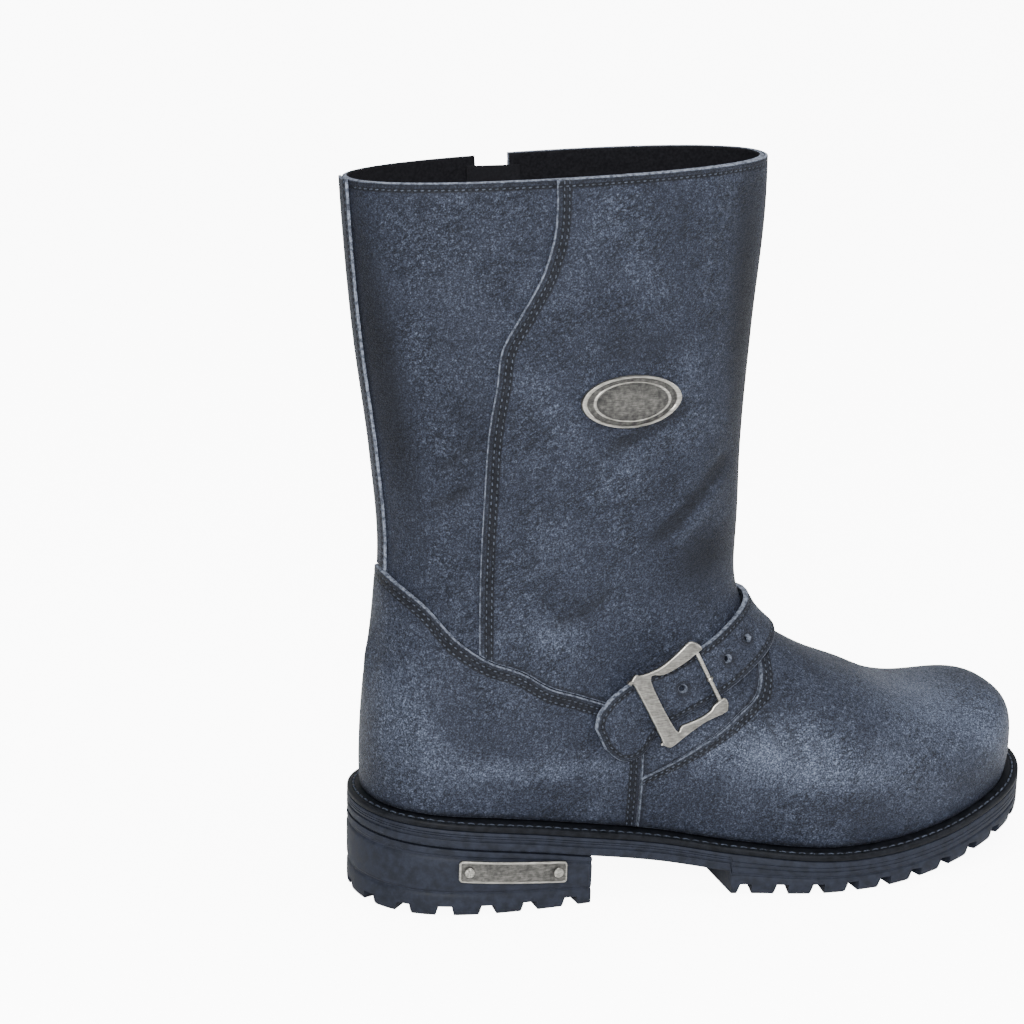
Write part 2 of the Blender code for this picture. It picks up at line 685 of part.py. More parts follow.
def make_strap():
    """The instep strap, and the short holder that keeps the buckle on the outer side."""
    band = grid_skin(strap_band())
    outside = shifted(counter_field, SEAM_GAP, -1)
    band = band.without(lambda p: -outside(p), lambda p: p[:, 1])
    leather("instep_strap", band, strap_levels(band.points), STRAP_THICKNESS)
    arcs = np.linspace(BUCKLE_ARC - BUCKLE_LENGTH / 3, 0.86 * STRAP_REACH, 7)
    edge = np.full(len(arcs), STRAP_WIDTH / 2)
    holder = grid_skin(strap_grid(arcs, -0.9 * edge, 1.05 * edge, 3)).cut(outside)
    depth = UPPER_FACE + CLEARANCE + VAMP_THICKNESS + CLEARANCE
    leather("buckle_strap", holder, depth, HOLDER_THICKNESS)


def buckle_frame():
    """Matrix of the buckle: X along the strap toward the toe, Z away from the boot."""
    arcs = BUCKLE_ARC + np.linspace(0.55, -0.55, 7) * BUCKLE_LENGTH
    edge = np.full(len(arcs), STRAP_WIDTH / 2)
    under = strap_grid(arcs, -edge, edge, 5)
    flat = under.reshape(-1, 3)
    top = flat + outward(flat) * (strap_levels(flat) + STRAP_THICKNESS)[:, None]
    grid = top.reshape(under.shape)
    along = (grid[-1] - grid[0]).mean(0)
    across = (grid[:, -1] - grid[:, 0]).mean(0)
    out = np.cross(along, across)
    if out[1] > 0:
        out = -out
    out /= np.linalg.norm(out)
    along -= out * (along @ out)
    along /= np.linalg.norm(along)
    up = np.cross(out, along)
    middle = grid.reshape(-1, 3).mean(0)
    under_bars = grid[[0, 1, -2, -1], grid.shape[1] // 2]
    seat = ((under_bars - middle) @ out).max()
    origin = middle + out * (seat + CLEARANCE)
    frame = Matrix.Identity(4)
    for column, vector in enumerate((along, up, out, origin)):
        for row in range(3):
            frame[row][column] = vector[row]
    return frame


def solid_outline(name, outer, inner, thickness, finish):
    """A flat frame with a hole, from 2D outlines, lying on its local XY plane."""
    flat = bpy.data.curves.new(name, "CURVE")
    flat.dimensions = "2D"
    flat.fill_mode = "BOTH"
    flat.extrude = thickness / 2
    for loop in (outer, inner):
        if loop:
            line = flat.splines.new("POLY")
            line.points.add(len(loop) - 1)
            for point, (x, y) in zip(line.points, loop):
                point.co = (x, y, 0, 1)
            line.use_cyclic_u = True
    shape = bpy.data.objects.new(name + "_outline", flat)
    bpy.context.scene.collection.objects.link(shape)
    bpy.context.view_layer.update()
    source = shape.evaluated_get(bpy.context.evaluated_depsgraph_get())
    mesh = bpy.data.meshes.new_from_object(source)
    bpy.data.objects.remove(shape)
    bm = bmesh.new()
    bm.from_mesh(mesh)
    bmesh.ops.remove_doubles(bm, verts=bm.verts, dist=0.01 * MM)
    bmesh.ops.translate(bm, verts=bm.verts, vec=(0, 0, thickness / 2))
    bm.to_mesh(mesh)
    bm.free()
    mesh.name = name
    mesh.materials.clear()
    mesh.materials.append(material(finish))
    piece = bpy.data.objects.new(name, mesh)
    collection("engineer_boot").objects.link(piece)
    return piece


def rod_mesh(bm, start, end, width, sides=10):
    """Add a closed rod between two points."""
    start, end = Vector(start), Vector(end)
    way = end - start
    turn = way.to_track_quat("Z", "Y").to_matrix().to_4x4()
    place = Matrix.Translation((start + end) / 2) @ turn
    bmesh.ops.create_cone(bm, cap_ends=True, segments=sides, radius1=width / 2,
                          radius2=width / 2, depth=way.length, matrix=place)


def make_buckle():
    """The cast buckle with flared corners, its thin rod over the strap and the rod's ring."""
    frame = buckle_frame()

    def spot(along, down):
        """A point of the buckle's plane from its shares."""
        return (along - 0.5) * BUCKLE_LENGTH, (0.5 - down) * BUCKLE_HEIGHT

    outline = [spot(*row) for row in zip(BUCKLE_OUTLINE["along"], BUCKLE_OUTLINE["down"])]
    piece = solid_outline("buckle", outline, None, BUCKLE_THICKNESS, "pewter")
    rod_z = BUCKLE_THICKNESS / 2
    ends = [(*spot(BUCKLE_ROD_ALONG, down), rod_z) for down in BUCKLE_ROD_ENDS]
    bm = bmesh.new()
    rod_mesh(bm, *ends, BUCKLE_ROD)
    rod = cutter_object("buckle_rod", bm)
    combine(piece, rod, "UNION")
    rod_x, ring_y = spot(BUCKLE_ROD_ALONG, BUCKLE_RING_DOWN)
    ring = bpy.data.meshes.new("buckle_ring")
    bm = bmesh.new()
    half = BUCKLE_RING_WIDTH / 2
    rod_mesh(bm, (rod_x, ring_y - half, rod_z), (rod_x, ring_y + half, rod_z), BUCKLE_RING, 14)
    bm.to_mesh(ring)
    bm.free()
    ring.materials.append(material("pewter"))
    collar = bpy.data.objects.new("buckle_ring", ring)
    collection("engineer_boot").objects.link(collar)
    bm = bmesh.new()
    half = BUCKLE_RING_WIDTH
    bore_width = BUCKLE_ROD + 2 * CLEARANCE
    rod_mesh(bm, (rod_x, ring_y - half, rod_z), (rod_x, ring_y + half, rod_z), bore_width)
    bore = cutter_object("ring_bore", bm)
    combine(collar, bore, "DIFFERENCE")
    lift = Matrix.Translation((0, 0, (BUCKLE_RING - BUCKLE_THICKNESS) / 2))
    for item in (piece, rod, collar, bore):
        item.matrix_world = frame @ lift


# Zip

def zip_patch(z_values, offsets):
    """A grid on the inner side round the zip's line: rows by height, columns across it."""
    z = np.asarray(z_values)[:, None]
    return side_point(zip_x(z) + np.asarray(offsets)[None, :], z + 0 * np.asarray(offsets), 1)


def zip_top():
    """Height at which the chain enters the slider."""
    return SHAFT_HEIGHT - SLIDER_DROP - SLIDER_LENGTH / 2 - SLIDER_WIDTH / 4


def make_zip():
    """Tape behind the slot, the closed chain in it, the slider at the top and its pull tab."""
    behind = UPPER_FACE - WALL - CLEARANCE
    heights = np.linspace(ZIP_FOOT - TAPE_BELOW, SHAFT_HEIGHT - TAPE_DROP, 15)
    across = np.linspace(-TAPE_WIDTH / 2, TAPE_WIDTH / 2, 5)
    tape = grid_skin(zip_patch(heights, across))
    leather("zip_tape", tape, behind, TAPE_THICKNESS, inward=True, finish="zip_tape")
    heights = np.linspace(ZIP_FOOT + CHAIN_THICKNESS, zip_top(), 15)
    across = np.linspace(-CHAIN_WIDTH / 2, CHAIN_WIDTH / 2, 3)
    chain = grid_skin(zip_patch(heights, across))
    leather("zip_chain", chain, behind + CLEARANCE, CHAIN_THICKNESS, finish="nickel")
    frame = slider_frame()
    make_slider(frame)
    make_pull(frame)


def slider_frame():
    """Matrix of the slider: Y up the zip, Z away from the boot, origin at its middle."""
    z = SHAFT_HEIGHT - SLIDER_DROP
    spots = zip_patch([z - SLIDER_LENGTH / 2, z, z + SLIDER_LENGTH / 2], [0.0])[:, 0]
    up = spots[2] - spots[0]
    up /= np.linalg.norm(up)
    out = outward(spots[1:2])[0]
    out -= up * (up @ out)
    out /= np.linalg.norm(out)
    across = np.cross(up, out)
    origin = spots[1] + out * (UPPER_FACE - WALL + CLEARANCE)
    frame = Matrix.Identity(4)
    for column, vector in enumerate((across, up, out, origin)):
        for row in range(3):
            frame[row][column] = vector[row]
    return frame


def bail_centre():
    """Centre of the bail's bar over the slider's body, in the slider's frame."""
    return Vector((0, -0.1 * SLIDER_LENGTH, SLIDER_THICKNESS + BAIL_HEIGHT))


def make_slider(frame):
    """Slider body with shoulders, and the bail that holds the pull tab."""
    half, length = SLIDER_WIDTH / 2, SLIDER_LENGTH / 2
    outline = [(-half * 0.62, -length), (half * 0.62, -length), (half * 0.7, -length * 0.1),
               (half, length * 0.25), (half, length * 0.75), (half * 0.7, length),
               (-half * 0.7, length), (-half, length * 0.75), (-half, length * 0.25),
               (-half * 0.7, -length * 0.1)]
    piece = solid_outline("zip_slider", outline, None, SLIDER_THICKNESS, "nickel")
    centre = bail_centre()
    bm = bmesh.new()
    for side in (-1, 1):
        x = side * (BAIL_SPAN + BAIL_POST) / 2
        top = centre.z + BAIL_BAR / 2
        foot = SLIDER_THICKNESS * 0.5
        post = Matrix.Translation((x, centre.y, (top + foot) / 2))
        scale = Matrix.Diagonal((BAIL_POST, BAIL_BAR * 1.6, top - foot, 1))
        bmesh.ops.create_cube(bm, size=1, matrix=post @ scale)
    posts = cutter_object("bail_posts", bm)
    combine(piece, posts, "UNION")
    bm = bmesh.new()
    reach = BAIL_SPAN / 2 + BAIL_POST * 0.5
    rod_mesh(bm, (-reach, centre.y, centre.z), (reach, centre.y, centre.z), BAIL_BAR, 12)
    bar = cutter_object("bail_bar", bm)
    combine(piece, bar, "UNION")
    for item in (piece, posts, bar):
        item.matrix_world = frame


def make_pull(frame):
    """Pull tab with its eye round the bail, hanging down, with a window in its free end."""
    centre = bail_centre()
    eye = PULL_EYE / 2
    end = -PULL_LENGTH
    half = PULL_WIDTH / 2
    neck = 0.4 * PULL_EYE_WIDTH
    throat = -eye - PULL_NECK
    shoulder = throat - 0.7 * PULL_CORNER
    outer = [(-neck, -eye * 0.75), (-neck, throat), (-half * 0.8, shoulder),
             (-half, end + PULL_CORNER), (-half * 0.75, end), (half * 0.75, end),
             (half, end + PULL_CORNER), (half * 0.8, shoulder), (neck, throat),
             (neck, -eye * 0.75)]
    side = half - PULL_RIM
    window = [(-side, end + PULL_RIM), (side, end + PULL_RIM), (side, end * 0.42),
              (-side, end * 0.42)]
    piece = solid_outline("zip_pull", outer, window, PULL_THICKNESS, "nickel")
    piece.data.transform(Matrix.Translation((0, 0, -PULL_THICKNESS / 2)))
    bm = bmesh.new()
    rod_mesh(bm, (-PULL_EYE_WIDTH / 2, 0, 0), (PULL_EYE_WIDTH / 2, 0, 0), PULL_EYE, 16)
    barrel = cutter_object("pull_eye", bm)
    bm = bmesh.new()
    rod_mesh(bm, (-PULL_EYE_WIDTH, 0, 0), (PULL_EYE_WIDTH, 0, 0), BAIL_BAR + 2.4 * CLEARANCE, 12)
    bore = cutter_object("pull_bore", bm)
    combine(piece, barrel, "UNION")
    combine(piece, bore, "DIFFERENCE")
    for item in (piece, barrel, bore):
        item.matrix_world = frame @ Matrix.Translation(centre)


# Plates

def make_shaft_plate():
    """A plain oval plate on the outer side of the shaft."""
    length, height, thickness = SHAFT_PLATE
    points = [SHAFT_PLATE_AT]
    for share in (0.45, 1.0):
        for k in range(20):
            turn = 2 * math.pi * k / 20
            points.append((SHAFT_PLATE_AT[0] + math.cos(turn) * share * length / 2,
                           SHAFT_PLATE_AT[1] + math.sin(turn) * share * height / 2))
    faces = []
    for k in range(20):
        n = (k + 1) % 20
        faces += [[0, 1 + n, 1 + k], [1 + k, 1 + n, 21 + n], [1 + k, 21 + n, 21 + k]]
    points = np.array(points)
    skin = Skin(side_point(points[:, 0], points[:, 1], -1), faces)
    depth = UPPER_FACE + CLEARANCE + PANEL_THICKNESS + 1.5 * CLEARANCE
    leather("shaft_badge", skin, depth, thickness, finish="pewter")


# Sole

def outline_points(turns, inset, side):
    """Points of the sole's outline at turns from heel to toe, set in from the welt's edge."""
    step = 0.001

    def bare(turn):
        s = (1 - np.cos(turn)) / 2
        half, middle = plan(s)
        return np.stack([LAST_BACK + s * LAST_LENGTH, middle + side * half], -1)

    turns = np.clip(turns, step * 2, math.pi - step * 2)
    way = bare(turns + step) - bare(turns - step)
    way /= np.linalg.norm(way, axis=-1, keepdims=True)
    normal = np.stack([-way[:, 1], way[:, 0]], -1) * side
    at = bare(turns) + normal * (WELT_WIDTH - inset)
    at[turns <= step * 2, 1] = 0
    at[turns >= math.pi - step * 2, 1] = PLAN["shift"][-1] * BALL_WIDTH / 2
    return at


def turn_at(x):
    """The turn of the outline's parameter at x."""
    return math.acos(1 - 2 * (x - LAST_BACK) / LAST_LENGTH)


def sole_turns(start=0.0, end=math.pi, extra=()):
    """Turns along one side of the sole, close together at its ends."""
    count = max(6, round(SOLE_STATIONS * (end - start) / math.pi))
    return np.sort(np.r_[np.linspace(start, end, count + 1), list(extra)])


def tread_turns():
    """Turns along the whole sole, with a pair at the step where the lugs start."""
    start = turn_at(TREAD_START)
    return sole_turns(extra=(start - 0.002, start + 0.002, turn_at(TREAD_FLAT)))


def loop_points(turns, inset):
    """A closed loop of the outline: the outer side to the front, then the inner side back."""
    outer = outline_points(turns, inset, -1)
    inner = outline_points(turns, inset, 1)
    at_toe = math.isclose(turns[-1], math.pi)
    last = len(turns) - 1 if at_toe else len(turns)
    return np.vstack([outer, inner[1:last][::-1]])


def stack(name, turns, side, bottom, top, finish, inner=None):
    """A layer of the sole: loops from bottom to top, with caps of strips across, or a ring."""
    layers = []
    for share, inset in side:
        loop = loop_points(turns, inset * MM)
        low, high = bottom(loop[:, 0]), top(loop[:, 0])
        layers.append(np.c_[loop, low + (high - low) * share])
    count = len(layers[0])
    points = np.vstack(layers)
    faces = []
    for i in range(len(layers) - 1):
        for k in range(count):
            n = (k + 1) % count
            a = i * count
            faces.append([a + k, a + n, a + count + n, a + count + k])
    if inner is None:
        closed = len(turns) * 2 - 2 == count
        for base, turned in ((0, True), ((len(layers) - 1) * count, False)):
            last = len(turns) - 1
            for k in range(last):
                left, left_next = base + k, base + k + 1
                right = base + (count - k) % count
                right_next = base + (count - k - 1) % count
                if closed and k == last - 1:
                    face = [left, left_next, right]
                elif k == 0:
                    face = [left, left_next, right_next]
                else:
                    face = [left, left_next, right_next, right]
                faces.append(face[::-1] if turned else face)
    else:
        rims = []
        for share in (0, 1):
            loop = loop_points(turns, inner)
            low, high = bottom(loop[:, 0]), top(loop[:, 0])
            rims.append(np.c_[loop, low + (high - low) * share])
        start = len(points)
        points = np.vstack([points, *rims])
        top_start = (len(layers) - 1) * count
        for k in range(count):
            n = (k + 1) % count
            faces += [[k, start + k, start + n, n],
                      [start + k, start + count + k, start + count + n, start + n],
                      [top_start + k, top_start + n, start + count + n, start + count + k]]
    return mesh_object(name, points, faces, finish)


def outsole_top(x):
    """Top of the outsole under the welt."""
    return welt_top(x) - WELT_THICKNESS - CLEARANCE


def plate_bottom(x):
    """Underside of the outsole's plate."""
    return outsole_top(x) - PLATE_THICKNESS


def tread_bottom(x):
    """Underside of the lugs: flat on the floor at the ball, rising with the toe."""
    rise = np.maximum(welt_top(x) - BALL_STACK, 0)
    flat = np.where(x < TREAD_FLAT, 0, rise)
    return np.where(x < TREAD_START, plate_bottom(x), flat)


def notch_places(start, end, pitch):
    """Places about a pitch apart along the outline between two turns, with the way inward.

    A turn past half a circle is on the inner side, so a run can go round the toe or the heel.
    """
    turns = np.linspace(start, end, 600)

    def at_turn(turn):
        sides = np.where(np.sin(turn) > 0, -1, 1)
        back = np.where(sides < 0, turn % (2 * math.pi), -turn % (2 * math.pi))
        outer, inner = outline_points(back, 0, -1), outline_points(back, 0, 1)
        return np.where(sides[:, None] < 0, outer, inner)

    line = at_turn(turns)
    length = np.r_[0, np.cumsum(np.linalg.norm(np.diff(line, axis=0), axis=1))]
    count = int(length[-1] / pitch)
    places = []
    for k in range(count):
        at = np.interp((k + 0.5) * length[-1] / count, length, turns)
        pair = at_turn(np.array([at - 0.02, at, at + 0.02]))
        way = pair[2] - pair[0]
        inward = np.array([-way[1], way[0]]) / np.linalg.norm(way)
        places.append((pair[1], inward))
    return places


def notch_cutter(name, places, bottom, width, depth):
    """Boxes at places along the outline, from under the sole up to the notch's depth."""
    reach = NOTCH_REACH
    bm = bmesh.new()
    for (x, y), inward in places:
        floor = float(bottom(np.array([x]))[0])
        low, high = floor - depth, floor + depth
        middle = Vector((x, y, (low + high) / 2)) + Vector((*inward, 0)) * (reach / 2 - reach * 0.3)
        turn = Matrix.Rotation(math.atan2(inward[1], inward[0]), 4, "Z")
        scale = Matrix.Diagonal((reach * 1.4, width, high - low, 1))
        bmesh.ops.create_cube(bm, size=1, matrix=Matrix.Translation(middle) @ turn @ scale)
    return cutter_object(name, bm)


def make_sole():
    """Welt, outsole with its forefoot lugs, heel block with its notches, and insole."""
    stack("welt", tread_turns(), WELT_SIDE, lambda x: welt_top(x) - WELT_THICKNESS, welt_top,
          "welt", inner=WELT_WIDTH + WELT_INSIDE)
    outsole = stack("outsole", tread_turns(), OUTSOLE_SIDE, tread_bottom, outsole_top, "rubber")
    front = notch_places(turn_at(TREAD_START), 2 * math.pi - turn_at(TREAD_START), TREAD_PITCH)
    notches = notch_cutter("tread_notches", front, tread_bottom,
                           TREAD_NOTCH_WIDTH, TREAD_NOTCH_DEPTH)
    combine(outsole, notches, "DIFFERENCE")
    heel = stack("heel", sole_turns(end=turn_at(HEEL_BREAST)), HEEL_SIDE, lambda x: 0 * x,
                 lambda x: plate_bottom(x) - CLEARANCE, "rubber")
    rear = notch_places(-turn_at(HEEL_BREAST), turn_at(HEEL_BREAST), HEEL_PITCH)
    notches = notch_cutter("heel_notches", rear, lambda x: 0 * x,
                           HEEL_NOTCH_WIDTH, HEEL_NOTCH_DEPTH)
    combine(heel, notches, "DIFFERENCE")
    make_insole()


def make_insole():
    """The insole over the welt's inner edge, with the filler under it."""
    filled = WELT_WIDTH + WELT_INSIDE + CLEARANCE
    walled = WELT_WIDTH + FOOTBED_INSIDE
    share = (WELT_THICKNESS + 3 * CLEARANCE) / (WELT_THICKNESS + INSOLE_THICKNESS)
    side = ((0, filled / MM), (share, filled / MM), (share, walled / MM), (1, walled / MM))
    stack("insole", tread_turns(), side,
          lambda x: outsole_top(x) + CLEARANCE,
          lambda x: outsole_top(x) + CLEARANCE + WELT_THICKNESS + INSOLE_THICKNESS, "insole")


def heel_wall(x):
    """The outer side wall of the heel at x: point and outward normal in plan."""
    turn = np.array([turn_at(v) for v in x])
    at = outline_points(turn, 0, -1)
    ahead = outline_points(turn + 0.01, 0, -1) - outline_points(turn - 0.01, 0, -1)
    normal = np.stack([ahead[:, 1], -ahead[:, 0]], -1)
    return at, normal / np.linalg.norm(normal, axis=1, keepdims=True)


def make_heel_plate():
    """A blank plate with two screw heads on the outer side of the heel."""
    length, height, thickness = HEEL_PLATE
    x = HEEL_PLATE_AT[0] + np.linspace(-0.5, 0.5, 7) * length
    at, normal = heel_wall(x)
    middle = HEEL_PLATE_AT[1] + (x - HEEL_PLATE_AT[0]) * math.tan(HEEL_PLATE_TILT)
    points, faces = [], []
    for level in (CLEARANCE, CLEARANCE + thickness):
        for z in (-height / 2, height / 2):
            spot = at + normal * level
            points.append(np.c_[spot, middle + z])
    points = np.vstack(points)
    count = len(x)
    back_low, back_high, face_low, face_high = (k * count for k in range(4))
    for k in range(count - 1):
        faces += [[back_low + k, back_high + k, back_high + k + 1, back_low + k + 1],
                  [face_low + k, face_low + k + 1, face_high + k + 1, face_high + k],
                  [back_low + k, back_low + k + 1, face_low + k + 1, face_low + k],
                  [back_high + k, face_high + k, face_high + k + 1, back_high + k + 1]]
    for k in (0, count - 1):
        end = [back_low + k, face_low + k, face_high + k, back_high + k]
        faces.append(end if k == 0 else end[::-1])
    mesh_object("heel_plate", points, faces, "pewter", smooth=False)
    for name, sign in (("heel_screw_rear", -1), ("heel_screw_front", 1)):
        spot_x = HEEL_PLATE_AT[0] + sign * (length / 2 - SCREW_INSET)
        at, normal = heel_wall(np.array([spot_x]))
        z = HEEL_PLATE_AT[1] + (spot_x - HEEL_PLATE_AT[0]) * math.tan(HEEL_PLATE_TILT)
        low = Vector((*at[0], z)) + Vector((*normal[0], 0)) * (2 * CLEARANCE + thickness)
        mesh = bpy.data.meshes.new(name)
        bm = bmesh.new()
        rod_mesh(bm, low, low + Vector((*normal[0], 0)) * SCREW_HEIGHT, SCREW_WIDTH, 12)
        bm.to_mesh(mesh)
        bm.free()
        mesh.materials.append(material("pewter"))
        collection("engineer_boot").objects.link(bpy.data.objects.new(name, mesh))


def main():
    """Build the boot in an empty scene."""
    for item in list(bpy.data.objects):
        bpy.data.objects.remove(item)
    make_sole()
    make_uppers()
    make_strap()
    make_buckle()
    make_zip()
    make_shaft_plate()
    make_heel_plate()


main()
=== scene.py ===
"""Looks of the engineer boot for the right foot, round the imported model.

Metres, +Z up.  X runs from heel to toe, -Y is the outer side and +Y the inner side.  The
leather pieces are cut again, finely, from the same smooth body that the solids were cut from.
"""
import itertools
import math

import bmesh
import bpy
import numpy as np
from mathutils import Matrix, Vector


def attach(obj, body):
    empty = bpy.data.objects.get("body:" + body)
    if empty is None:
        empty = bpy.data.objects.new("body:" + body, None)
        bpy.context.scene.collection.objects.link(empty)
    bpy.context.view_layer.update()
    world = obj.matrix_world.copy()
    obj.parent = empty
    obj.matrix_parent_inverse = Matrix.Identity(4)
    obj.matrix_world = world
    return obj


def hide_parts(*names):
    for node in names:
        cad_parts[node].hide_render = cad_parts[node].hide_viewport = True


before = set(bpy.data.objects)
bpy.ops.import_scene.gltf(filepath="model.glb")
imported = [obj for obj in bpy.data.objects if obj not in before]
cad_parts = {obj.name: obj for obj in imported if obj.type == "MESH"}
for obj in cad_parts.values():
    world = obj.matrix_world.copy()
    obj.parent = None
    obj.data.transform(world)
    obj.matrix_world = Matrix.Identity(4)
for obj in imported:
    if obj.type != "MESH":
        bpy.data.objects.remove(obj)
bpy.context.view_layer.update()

MM = 0.001

# Driving sizes of the last and the upper
LAST_LENGTH = 298 * MM
LAST_BACK = -41 * MM
BALL_WIDTH = 100 * MM
HEEL_NOSE = 36 * MM
TOE_NOSE = 52 * MM
TOE_DEPTH = 38 * MM
INSTEP_HEIGHT = 82.5 * MM
FOOT_SPREAD = 1.03
SHAFT_HEIGHT = 308 * MM
COLLAR_DEPTH = 180 * MM
COLLAR_WIDTH = 72 * MM
COLLAR_RISE = 7 * MM
COUNTER_HEIGHT = 146 * MM
COUNTER_FRONT = 70 * MM
COUNTER_CORNER = 12 * MM
THROAT_BLEND = 30 * MM
ANKLE_BLEND = 6 * MM

# Heights of the sole under the foot
SEAT_HEIGHT = 43.5 * MM
BALL_STACK = 17.2 * MM
TOE_RISE = 18.5 * MM

# Leather: depths from the body's surface, outward positive
WALL = 2.4 * MM
UPPER_FACE = -1.2 * MM
CLEARANCE = 0.3 * MM
PANEL_THICKNESS = 1.2 * MM
VAMP_THICKNESS = 1.9 * MM
COUNTER_THICKNESS = 2.0 * MM
STAY_WIDTH = 11.5 * MM
SEAM_GAP = 0.45 * MM
EDGE_RISE = 0.6 * MM

# Zip on the inner side
SLOT_BEHIND = 5.5 * MM
SLOT_AHEAD = 6.0 * MM
SLOT_FLARE = 2.0 * MM
ZIP_FOOT = 93 * MM
CHAIN_WIDTH = 6.0 * MM
CHAIN_THICKNESS = 2.0 * MM
TAPE_WIDTH = 24 * MM
TAPE_THICKNESS = 0.8 * MM
TAPE_BELOW = 4 * MM
TAPE_DROP = 5 * MM
SLIDER_WIDTH = 9.0 * MM
SLIDER_LENGTH = 13.0 * MM
SLIDER_DROP = 14 * MM

# Instep strap and its buckle
STRAP_WIDTH = 22.5 * MM
STRAP_THICKNESS = 2.4 * MM
STRAP_MIDDLE = (LAST_BACK + 0.48 * LAST_LENGTH, BALL_STACK + INSTEP_HEIGHT)
STRAP_SLOPE = math.radians(25)
STRAP_AXIS_BACK = 30 * MM
STRAP_REACH = 107 * MM
STRAP_ROOT = 98 * MM
HOLDER_THICKNESS = 1.2 * MM
BUCKLE_ARC = 69 * MM
BUCKLE_LENGTH = 32 * MM
BUCKLE_HEIGHT = 32 * MM
BUCKLE_THICKNESS = 2.4 * MM
BUCKLE_ROD = 1.8 * MM
BUCKLE_RING = 3.2 * MM
BUCKLE_RING_WIDTH = 1.6 * MM

# Plain metal plates
SHAFT_PLATE = (44 * MM, 22 * MM, 1.4 * MM)
SHAFT_PLATE_AT = (58 * MM, 217 * MM)
HEEL_PLATE = (45 * MM, 9.6 * MM, 1.2 * MM)
HEEL_PLATE_AT = (12.5 * MM, 18.6 * MM)
HEEL_PLATE_TILT = math.radians(-5.0)
SCREW_WIDTH = 4.4 * MM
SCREW_HEIGHT = 0.8 * MM
SCREW_INSET = 4.0 * MM

# Sole
WELT_WIDTH = 6.5 * MM
WELT_THICKNESS = 2.6 * MM
WELT_INSIDE = 9.5 * MM
PLATE_THICKNESS = 8.2 * MM
HEEL_BREAST = 46.5 * MM
TREAD_START = 108 * MM
TREAD_FLAT = 175 * MM
NOTCH_REACH = 13 * MM
TREAD_NOTCH_WIDTH = 7.0 * MM
TREAD_NOTCH_DEPTH = 4.6 * MM
TREAD_PITCH = 15.5 * MM
HEEL_NOTCH_WIDTH = 8.5 * MM
HEEL_NOTCH_DEPTH = 4.2 * MM
HEEL_PITCH = 18 * MM
INSOLE_THICKNESS = 4.5 * MM
FOOTBED_INSIDE = 7.2 * MM

# Spread of a section's rays along it over their spread across it, at the toe and in the shaft
TOE_SPREAD = 0.9
SHAFT_SPREAD = 1.55

# How finely the body is divided
AROUND = 240
TOE_RINGS = 80
TURN_RINGS = 110
SHAFT_RINGS = 80
SOLE_STATIONS = 130


def table(columns, *rows):
    """Name a table's columns."""
    return {name: np.array(column, float) for name, column in zip(columns.split(), zip(*rows))}


# Last outline: station along the last, half width and sideways shift as shares of half the ball
PLAN = table("station half shift",
             (0.00, 0.000, 0.00), (0.12, 0.715, 0.00), (0.25, 0.725, -0.01), (0.40, 0.650, -0.05),
             (0.52, 0.775, -0.07), (0.64, 0.970, -0.05), (0.73, 1.000, 0.00), (0.83, 0.960, 0.07),
             (0.92, 0.800, 0.12), (1.00, 0.000, 0.14))

# Top of the welt: share of the seat's height over the ball, and share of the toe's rise
FEATHER = table("station seat toe",
                (-0.03, 1.02, 0.00), (0.10, 0.90, 0.00), (0.20, 0.77, 0.00), (0.30, 0.57, 0.00),
                (0.40, 0.36, 0.00), (0.50, 0.16, 0.00), (0.61, 0.03, 0.00), (0.72, 0.00, 0.00),
                (0.83, 0.00, 0.20), (0.93, 0.00, 0.60), (1.00, 0.00, 0.92), (1.03, 0.00, 1.06))

# Ridge of the foot: height over the welt as a share of the instep, and roundness of the section
RIDGE = table("station height power",
              (0.00, 0.72, 2.00), (0.02, 0.95, 2.00), (0.06, 1.13, 2.00), (0.20, 1.42, 2.00),
              (0.34, 1.33, 2.00), (0.41, 1.20, 2.00), (0.47, 1.09, 2.05), (0.56, 1.00, 2.10),
              (0.64, 0.93, 2.20), (0.73, 0.80, 2.30), (0.81, 0.64, 2.40), (0.89, 0.54, 2.50),
              (1.00, 0.55, 2.60))

# Leg: height as a share of the shaft; back, widest place and front as shares of the collar's
# depth from the origin; half width as a share of the collar's width
LEG = table("height back widest front half",
            (0.08, -0.206, 0.00, 0.333, 0.450), (0.15, -0.228, 0.00, 0.367, 0.485),
            (0.21, -0.230, 0.01, 0.400, 0.500), (0.29, -0.224, 0.05, 0.590, 0.500),
            (0.39, -0.207, 0.16, 0.655, 0.507), (0.49, -0.200, 0.23, 0.665, 0.520),
            (0.62, -0.223, 0.25, 0.664, 0.535), (0.78, -0.265, 0.25, 0.678, 0.535),
            (0.94, -0.295, 0.23, 0.700, 0.514), (1.10, -0.315, 0.23, 0.697, 0.494))

